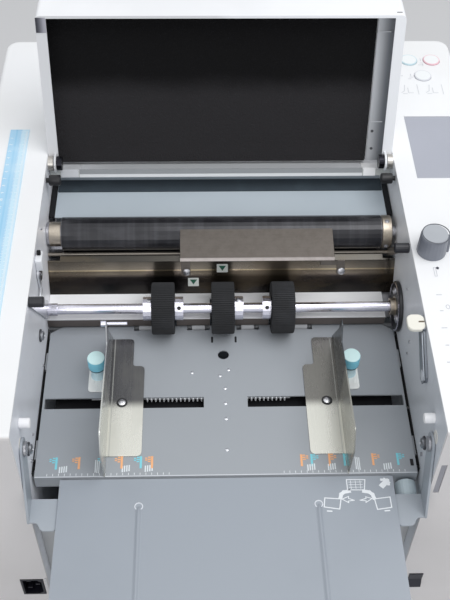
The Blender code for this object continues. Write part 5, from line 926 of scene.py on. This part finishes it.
# painted light: the foam is lighter towards its lower part, and its specks thin out above
painted_lower_light = 1 - (place.part("Z") + place.noise(30, 3) * 0.012).ease(0.435, 0.462)
tone = (0.12 + painted_lower_light * 0.88).blend(paint(12, 12, 13), paint(46, 45, 47))
seal(foam_finish, ((speck * 0.4 + dust * 0.3) * (0.25 + painted_lower_light * 0.75)).blend(tone, paint(70, 69, 71)), 0.95,
     relief=cells, strength=0.6, depth=0.0008, Specular_IOR_Level=0.12)
foam = foam_slab()
fit(foam, foam_finish, "hood")
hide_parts("foam_pad")


def on_hood(level, way=1):
    """Turns slab numbers into places: x, reach, and a rise off the given depth."""
    return lambda u, v, w: hood_spot(u, v, level + way * w)


def liner_sheet():
    """Grey sheet with painted shade that darkens it towards the side wall, from X = 0.138 to 0.157."""
    made, place = new_finish("liner_grey")
    lines = place.noise(700, 3, 0.6, (1, 0.03, 0.03))
    shade = place.part("X").ease(0.1375, 0.1535)
    return seal(made, (lines * 0.2).blend(shade.blend(paint(236, 238, 242), paint(122, 126, 132)),
                                          paint(150, 152, 158)), 0.4 + lines * 0.1, 0.2, lines, 0.08, 0.0001)


liner = skin("hood_liner", [slab([(150.6, a), (168.6, a), (168.6, b), (150.6, b)], 0.1, rise, 0.25,
                                 on_hood(32.35, -1))
                            for a, b, rise in ((-14.0, 29.2, 0.8), (29.5, 122.6, 1.6), (122.9, 144.0, 0.9))])
fit(liner, liner_sheet(), "hood")
liner_edges = skin("hood_liner_edges",
                   [slab([(150.6, a), (164, a), (164, a + 0.9), (150.6, a + 0.9)], 1.3, 1.75, 0.1,
                                             on_hood(32.35, -1)) for a in (28.9, 122.2)])
fit(liner_edges, moulded("liner_edge", paint(232, 234, 238), paint(216, 218, 222), 0.3), "hood")
spots = skin("hood_liner_screws", [slab(rounded(x - 1.5, x + 1.5, v - 1.5, v + 1.5, 1.4), 0.8, 1.3, 0.3,
                                        on_hood(32.35, -1)) for x, v in ((154.7, 18.8), (155.5, -0.5))])
fit(spots, moulded("liner_screw", paint(96, 98, 102), paint(76, 78, 82), 0.3), "hood")


def silver_bar(name, left, right):
    """Brushed bar: a middle grey that brightens towards both ends."""
    made, place = new_finish(name)
    lines = place.noise(900, 3, 0.6, (0.02, 1, 1))
    side = place.part("X") + 0.0125
    end = side.maths("ABSOLUTE", side).ease(left, right)
    return seal(made, (lines * 0.3).blend(end.blend(paint(206, 209, 212), paint(240, 242, 246)),
                                          paint(178, 180, 184)), 0.32 + lines * 0.12, 0.2, lines, 0.08,
                0.00005)


def on_skirt(u, v, w):
    """Turns slab numbers into places on the rear skirt's inner face: x, depth and a rise off it."""
    return hood_spot(u, -15.4 + w, v)


bar = skin("hood_bar", [slab([(-142.4, 7.2), (143.8, 7.2), (143.8, 25.6), (-142.4, 25.6)], 0.1, 1.2, 0.2,
                             on_skirt)])
bar_silver = silver_bar("bar_silver", 0.10, 0.16)
fit(bar, bar_silver, "hood")
bar_left = skin("hood_bar_left",
                [slab([(-165.5, 7.2), (-143.4, 7.2), (-143.4, 25.6), (-165.5, 25.6)], 0.1, 1.3, 0.2,
                                       on_skirt)])
fit(bar_left, brushed("bar_left_silver", paint(232, 234, 238), paint(206, 208, 212), "X", 0.3, 900, 0.2),
    "hood")
bar_right = skin("hood_bar_right",
                 [slab([(144.8, 7.2), (165.5, 7.2), (165.5, 25.6), (144.8, 25.6)], 0.1, 1.3, 0.2,
                                         on_skirt)])
bar_white = moulded("bar_right_white", paint(254, 254, 255), paint(244, 246, 250), 0.3)
fit(bar_right, bar_white, "hood")
hood_rim = on_hood(5.0, -1)


def rim_strip(name, outline, low=0.02, high=0.3, edge=0.05):
    """Lays a thin strip on the hood's lower rim."""
    return skin(name, [slab(outline, low, high, edge, hood_rim)])


bar_lower = rim_strip("hood_bar_lower", block(-142.4, 143.8, -14.6, -9.3))
fit(bar_lower, brushed("bar_lower_silver", paint(168, 171, 174), paint(146, 149, 152), "X", 0.34, 900, 0.2),
    "hood")
faces = rim_strip("hood_bar_face", block(-142.4, 143.8, -18.2, -14.8))
fit(faces, brushed("bar_face_silver", paint(244, 246, 248), paint(222, 224, 226), "X", 0.3, 900, 0.1), "hood")
face_left = rim_strip("hood_bar_face_left", block(-161.0, -143.4, -18.2, -9.3))
fit(face_left, bar_left.data.materials[0], "hood")
face_right = rim_strip("hood_bar_face_right", block(144.8, 157.0, -18.2, -9.3))
fit(face_right, bar_white, "hood")
dash = skin("hood_dash", [slab(block(163.4, 168.4, 9.5, 10.5), 0.02, 0.14, 0.03,
                               lambda u, v, w: hood_spot(u, 147 + 8 * (v - 5) / 30 + w, v))])
fit(dash, moulded("dash_black", paint(30, 30, 34), paint(44, 44, 48), 0.5), "hood")

catch = rim_strip("hood_catch", block(-171.6, -162.2, 131.4, 145.6), 0.05, 0.5, 0.2)
made, place = new_finish("catch_steel")
lines = place.noise(900, 3, 0.6, (1, 0.05, 0.05))
seal(made, (lines * 0.2 + place.part("X").ease(-0.1830, -0.1745) * 0.8).blend(paint(24, 26, 38),
                                                                              paint(178, 178, 188)), 0.3,
     0.5, lines, 0.08, 0.00005)
fit(catch, made, "hood")

hinge_steel = brushed("hinge_steel", paint(214, 210, 204), paint(150, 146, 140), "Y", 0.2, 900)
for side, name in ((-1, "left"), (1, "right")):
    spacer = skin(name + "_hinge_spacer",
                  [lathe([(side * 166.2, 4.2), (side * 166.2, 6.9), (side * 166.6, 7.3),
                                                  (side * 171.6, 7.3), (side * 172.0, 6.9),
                          (side * 172.0, 4.2)],
                                                 0, 297.0, 104.0, "X", 48)], tube=True)
    fit(spacer, hinge_steel, "chassis")
    buffer_block = skin(name + "_hood_buffer",
                        [lathe([(side * 158.2, 0), (side * 158.2, 4.6), (side * 159, 5.2),
                                                       (side * 168.6, 5.4), (side * 169.4, 4.9),
                                (side * 169.4, 2.4),
                                                       (side * 172.2, 2.4), (side * 172.2, 0)],
                                                      0, 275.0, 101.4, "X", 32)])
    fit(buffer_block, moulded(name + "_buffer_rubber", paint(18, 18, 22), paint(32, 32, 36), 0.4), "chassis")


# Levers. Black plastic grips on thin steel stems; the small side lever carries a cream tab.
def lever_finish(name, tip_y, tip_z, reach, grip, stem):
    """Grip where the place is within reach of the tip in Y and Z, bare steel on the rest."""
    made, place = new_finish(name)
    grains = place.noise(900, 2)
    out_y, out_z = place.part("Y") - tip_y, place.part("Z") - tip_z
    bare = (out_y * out_y + out_z * out_z).ease(reach ** 2, (reach + 0.0006) ** 2)
    dull = tuple(0.72 * v for v in stem[:3]) + (1.0,)
    return seal(made, bare.blend((grains * 0.3).blend(grip, paint(50, 51, 54)),
                                 (grains * 0.5).blend(stem, dull)),
                0.4 - bare * 0.12 + grains * 0.05, bare * 0.6, grains, 0.1, 0.0001)


black_grip = paint(26, 27, 34)
dress(lever_finish("lift_lever_finish", -0.090, 0.3807, 0.0062, black_grip, paint(206, 208, 214)),
      "lift_lever")
dress(lever_finish("release_lever_finish", -0.0249, 0.3772, 0.0062, black_grip, paint(156, 149, 140)),
      "release_lever")
dress(brushed("side_lever_steel", paint(150, 155, 162), paint(104, 110, 118), "Z", 0.3, 900, 0.7),
      "side_lever")


def on_wall(side, level):
    """Turns slab numbers into places by a side frame: y, height, and a rise off it towards the middle."""
    return lambda u, v, w: spot(side * (level - w), u, v)


tab = skin("side_lever_tab", [slab(rounded(156.6, 172.0, 77.4, 94.6, 5.5, 8), 103.4, 107.2, 0.6)])
fit(tab, moulded("cream_plastic", paint(236, 234, 224), paint(222, 219, 207), 0.4), "side_flap_lever")
tab_slot = skin("side_lever_tab_slot", [slab(rounded(166.4, 171.6, 85.2, 86.8, 0.7), 107.2, 107.4, 0.05)])
fit(tab_slot, moulded("tab_slot_brown", paint(96, 84, 66), paint(80, 70, 56), 0.5), "side_flap_lever")
blade = skin("side_lever_blade", [slab([(42.6, 80.4), (45.2, 71.8), (52.4, 70.2), (92.4, 98.2), (93.6, 103.4),
                                        (80.2, 103.4)], 0.0, 1.3, 0.3, on_wall(1, 169.9))])
fit(blade, brushed("blade_steel", paint(168, 173, 180), paint(112, 118, 126), "Y", 0.26, 900, 0.75),
    "side_flap_lever")


# Exit tray. A bent steel leaf behind the machine in the same grey enamel.
dress(leaf_enamel, "exit_tray")


# Controls. Soft-touch keys, a grey film display panel, a ribbed dial, a mains rocker, the skew
# knob under the table's corner and a black socket for the mains lead.
panel_film = moulded("panel_film", paint(170, 173, 184), paint(160, 163, 174), 0.3, 1600, 0.06)
dress(panel_film, "display_panel")


def dial_finish():
    """Grey dial, satin on the flat top; the top is painted lighter as lit and the ribbed side darker as
    shade, with clouds of wear on both.
    """
    made, place = new_finish("dial_grey")
    grains = place.noise(800, 2)
    worn = place.noise(50, 3).ease(0.4, 0.75)
    # painted light and shade: lighter top, darker ribbed side
    top = place.part("Z").ease(0.4066, 0.4074)
    tone = top.blend(paint(120, 124, 134), paint(172, 176, 182))
    return seal(made, (worn * 0.3).blend(tone, top.blend(paint(96, 100, 112), paint(160, 164, 170))),
                0.36 - top * 0.08 + grains * 0.05, relief=grains, strength=0.1, depth=0.0001)


dress(dial_finish(), "dial_knob")
dial_rim = skin("dial_rim", [lathe([(131.45, 11.9), (131.45, 12.7), (131.75, 12.9), (131.95, 12.6),
                                    (131.95, 12.0)],
                                   191.0, 168.0, 0, "Z", 64)], tube=True)
fit(dial_rim, moulded("dial_rim_dark", paint(86, 90, 98), paint(104, 108, 116), 0.3), "dial")
dress(moulded("skew_grey", paint(196, 210, 216), paint(176, 190, 198), 0.38), "skew_knob")


def button_finish(name, rim, x, y):
    """Near-white key whose edge carries a pale coloured ring, by its distance from the key's axis."""
    made, place = new_finish(name)
    grains = place.noise(1200, 2)
    out_x, out_y = place.part("X") - x, place.part("Y") - y
    ring = (out_x * out_x + out_y * out_y).ease(0.0076 ** 2, 0.0084 ** 2)
    return seal(made, (ring * 0.9 + grains * 0.05).blend(paint(240, 243, 244), rim), 0.36 + grains * 0.05,
                relief=grains, strength=0.08, depth=0.0001)


dress(button_finish("start_white", paint(196, 222, 230), 0.1985, 0.2532), "start_button")
dress(button_finish("stop_white", paint(236, 190, 200), 0.2235, 0.2531), "stop_button")
dress(button_finish("clear_white", paint(216, 218, 224), 0.2098, 0.2249), "clear_button")
dress(moulded("rocker_black", paint(22, 22, 34), paint(36, 36, 50), 0.34), "rocker_switch")
dress(moulded("socket_black", paint(16, 16, 26), paint(32, 32, 42), 0.34), "power_inlet")


def on_front(level):
    """Turns slab numbers into places on the housings' front: x, height, and a rise off it forward."""
    return lambda u, v, w: spot(u, level - w, v)


bezel_grey = moulded("bezel_grey", paint(206, 206, 208), paint(190, 190, 192), 0.3)
bezel = skin("inlet_bezel", [slab(block(-174.8, -173.0, -174.4, -137.6), 0.05, 1.2, 0.2, on_front(-29.0))])
fit(bezel, bezel_grey, "chassis")
# Painted shade: a grey blank closes the vent, its grey standing for the shade seen in the recess.
blank = skin("vent_blank", [slab(block(176.3, 180.7, 15.4, 59.6), 0.0, 1.2, 0.2, on_front(-27.4))])
fit(blank, moulded("vent_painted_shade_grey", paint(150, 150, 158), paint(134, 134, 142), 0.4), "chassis")

small = [(206.2, 453.2, 2.6, 0.8, 30), (224.2, 459.0, 0.9, 5.0, 0), (224.2, 453.0, 3.6, 0.9, 0),
         (222.6, 449.6, 4.6, 0.9, 0), (225.4, 449.6, 0.9, 4.2, 0), (209.4, 431.2, 0.9, 4.6, 0),
         (209.6, 427.6, 4.2, 0.9, 0), (207.4, 424.6, 3.6, 0.9, 0), (199.6, 430.0, 2.4, 1.0, 0)]
for x in (199.5, 226.0):
    small += [(x, 408.6, 0.9, 11.0, -8), (x - 2.6, 402.0, 4.6, 0.9, 40), (x - 0.6, 399.0, 5.2, 0.9, 0),
              (x + 3.4, 404.6, 0.9, 9.0, 0), (x + 6.2, 400.2, 5.2, 0.9, 0), (x + 14.0, 406.0, 0.8, 17.0, 0)]
marks("key_icons", small, 109.62, paint(214, 216, 220), "chassis")
strip = [(x, y, w, 0.8, 0) for x, y, w in
         ((188.4, 114.4, 5.0), (187.8, 96.0, 3.2), (187.0, 76.8, 5.0), (186.2, 58.0, 3.2), (185.4, 40.0, 5.0),
          (184.6, 21.0, 3.2), (183.8, 2.0, 5.0), (183.0, -16.0, 3.2))]
strip += strokes([(188.6, 136.4), (190.6, 136.4), (190.6, 147.0), (188.6, 147.0)], 0.5)
for x, y in ((194.0, 100.4), (191.0, 52.9), (188.0, 6.0)):
    angle = np.linspace(0, 2 * math.pi, 12, endpoint=False)
    strip += strokes(np.stack((x + 1.7 * np.cos(angle), y + 2.2 * np.sin(angle)), -1), 0.5)
marks("scale_strip", strip, 109.62, paint(196, 198, 204), "chassis")
dots = skin("scale_indicator", [slab(rounded(191.0, 193.6, 144.8, 147.8, 1.2), 109.55, 109.8, 0.1)])
fit(dots, moulded("indicator_dark", paint(60, 62, 72), paint(80, 82, 92), 0.4), "chassis")


# Ruler. A pale blue plastic ruler, 357 mm long, glued on the left housing, with white millimetre
# ticks on both sides of two clear blue bands and a white number at every centimetre.
def ruler_plastic():
    """Clear blue plastic: two deeper bands run its whole length, chosen by X, and clouds of wear."""
    made, place = new_finish("ruler_blue")
    wear = place.noise(30, 4).ease(0.4, 0.75)
    fine = place.noise(1200, 2)
    x = place.part("X")
    band = 1 - x.ease(-0.2142, -0.2132)
    deep = x.ease(-0.2202, -0.2196) * (1 - x.ease(-0.2182, -0.2176))
    tone = (deep * 0.5).blend(band.blend(paint(200, 230, 246), paint(168, 212, 240)), paint(140, 198, 232))
    return seal(made, (wear * 0.35).blend(tone, paint(216, 238, 250)), 0.2 + fine * 0.08, relief=fine,
                strength=0.05, depth=0.0001)


ruler = skin("scale_ruler", [slab([(-213.2, -15.0), (-194.0, -15.0), (-194.0, 341.6), (-213.2, 341.6)], 109.5,
                                  110.5,
                                  0.3)])
fit(ruler, ruler_plastic(), "chassis")
fine_ticks = [(-196.3 - 0.5 * (k % 5 == 0) - 0.4 * (k % 10 == 0), 338.0 - k, 2.2 + 1.0 * (k % 5 == 0)
               + 0.8 * (k % 10 == 0), 0.35, 0) for k in range(350)]
fine_ticks += [(-201.6, 338.0 - 2 * k, 1.4 + 1.0 * (k % 5 == 0), 0.35, 0) for k in range(176)]
marks("ruler_ticks", fine_ticks, 110.56, paint(250, 253, 254), "chassis", 0.4)


def numerals(name, numbers, place_of, size, made, body):
    """White numbers, each a flat text outline made a mesh: its corners, turned a quarter round, are
    scaled by size and set at its own place."""
    corners, faces, total = [], [], 0
    for number in numbers:
        curve = bpy.data.curves.new(f"{name}_{number}", "FONT")
        curve.body = str(number)
        curve.align_x, curve.align_y, curve.resolution_u = "CENTER", "CENTER", 2
        letter = bpy.data.objects.new(curve.name, curve)
        mesh = bpy.data.meshes.new_from_object(letter)
        flat = np.zeros(len(mesh.vertices) * 3)
        mesh.vertices.foreach_get("co", flat)
        flat = flat.reshape(-1, 3) * size
        x, y, height = place_of(number)
        corners.append(spot(x - flat[:, 1], y + flat[:, 0], height))
        faces += [[v + total for v in face.vertices] for face in mesh.polygons]
        total += len(flat)
        bpy.data.objects.remove(letter)
        bpy.data.curves.remove(curve)
        bpy.data.meshes.remove(mesh)
    mesh = bpy.data.meshes.new(name)
    mesh.from_pydata(np.concatenate(corners).tolist(), [], faces)
    piece = bpy.data.objects.new(name, mesh)
    bpy.context.scene.collection.objects.link(piece)
    return fit(piece, made, body)


ink, place = new_finish("numeral_ink")
wear = place.noise(900, 3).ease(0.5, 0.8)
seal(ink, (wear * 0.2).blend(paint(250, 253, 254), paint(220, 236, 244)), 0.4 + wear * 0.1)
numerals("ruler_numbers", range(1, 35), lambda n: (-210.4, 338.0 - 10 * n, 110.56), 4.2, ink, "chassis")


# Side fittings. Turned nylon stubs on which the table rests, steel studs with domed heads and
# washers on the side frames, and the grey block and link of the hood switch on the left.
nylon_white = moulded("stub_nylon", paint(250, 250, 252), paint(232, 232, 236), 0.4)
for side, name in ((-1, "left"), (1, "right")):
    stub = skin(name + "_nylon_stub", [lathe([(side * 163.2, 0), (side * 163.2, 3.6), (side * 163.9, 4.4),
                                              (side * 171.4, 4.5), (side * FRAME_FACE, 4.5),
                                              (side * FRAME_FACE, 0)], 0, 5.0, 79.0, "X", 32)])
    fit(stub, nylon_white, "chassis")
dark_ring = moulded("stud_ring_dark", paint(58, 60, 66), paint(76, 78, 84), 0.4)
heads = [(-1, 11.7, 28.9, 4.6), (1, 9.9, 33.2, 4.6), (-1, 130.4, 37.9, 4.6)]
rings = skin("stud_rings", [lathe([(side * FRAME_SEAT, 2.0), (side * 171.4, radius - 1.0),
                                   (side * 171.2, radius + 1.4), (side * FRAME_SEAT, radius + 1.6)],
                                  0, y, z, "X", 36)
                            for side, y, z, radius in heads], tube=True)
fit(rings, dark_ring, "chassis")
studs = skin("stud_heads", [pan_screw(side * 171.3, y, z, "X", -side, radius, 3.2)
                            for side, y, z, radius in heads])
fit(studs, brushed("stud_steel", paint(190, 192, 196), paint(128, 130, 136), "Y", 0.22, 1200), "chassis")
cream_washers = skin("cream_washers", [lathe([(side * 172.46, 2.4), (side * 172.1, 2.6), (side * 172.1, 5.8),
                                              (side * 172.46, 6.0)], 0, y, z, "X", 36)
                                       for side, y, z in ((-1, -6.4, 63.8), (1, -8.6, 71.3))], tube=True)
fit(cream_washers, moulded("washer_cream", paint(226, 224, 218), paint(206, 204, 198), 0.4), "chassis")
tiny = [(-1, 11.6, 9.4, 1.8), (1, 9.2, 16.4, 1.8), (1, 71.6, -2.6, 1.6), (-1, 145.0, 70.6, 1.3),
        (-1, 118.0, 8.0, 1.3), (-1, 34.0, 18.0, 1.4), (1, 154.6, 71.8, 1.2), (1, 112.8, 44.8, 1.4),
        (1, 110.8, 30.7, 1.2), (-1, 213.0, 96.0, 1.2)]
tiny_screws = skin("frame_screws", [pan_screw(side * FRAME_SEAT, y, z, "X", -side, radius, 1.6)
                                    for side, y, z, radius in tiny])
fit(tiny_screws, screw_steel, "chassis")

left_wall = on_wall(-1, FRAME_FACE)
switch_block = skin("hood_switch_block",
                    [slab(rounded(163.6, 177.6, 90.6, 104.0, 1.4), 0.0, 6.2, 0.6, left_wall)])
fit(switch_block, moulded("switch_grey", paint(240, 242, 246), paint(222, 224, 228), 0.4), "chassis")
plunger = skin("hood_switch_plunger",
               [slab(rounded(170.8, 174.6, 103.8, 108.4, 1.2), 1.4, 4.8, 0.4, left_wall)])
fit(plunger, felt_and_painted_shade, "chassis")
link = skin("hood_switch_link",
            [slab(rounded(159.6, 166.4, 70.0, 91.4, 3.0), 0.4, 2.2, 0.4, left_wall),
             slab(rounded(149.0, 161.8, 66.8, 72.4, 2.4), 1.6, 3.2, 0.4, left_wall)])
fit(link, brushed("link_steel", paint(236, 238, 242), paint(160, 162, 168), "Z", 0.24, 1200, 0.5), "chassis")
hub = skin("hood_switch_hub", [lathe([(-FRAME_FACE, 0), (-FRAME_FACE, 6.6), (-168.9, 6.2), (-168.6, 5.4),
                                      (-168.6, 2.4), (-169.4, 2.0), (-169.4, 0)], 0, 166.4, 84.0, "X", 36)])
fit(hub, brushed("hub_steel", paint(132, 132, 138), paint(76, 76, 82), "Y", 0.2, 1000), "chassis")
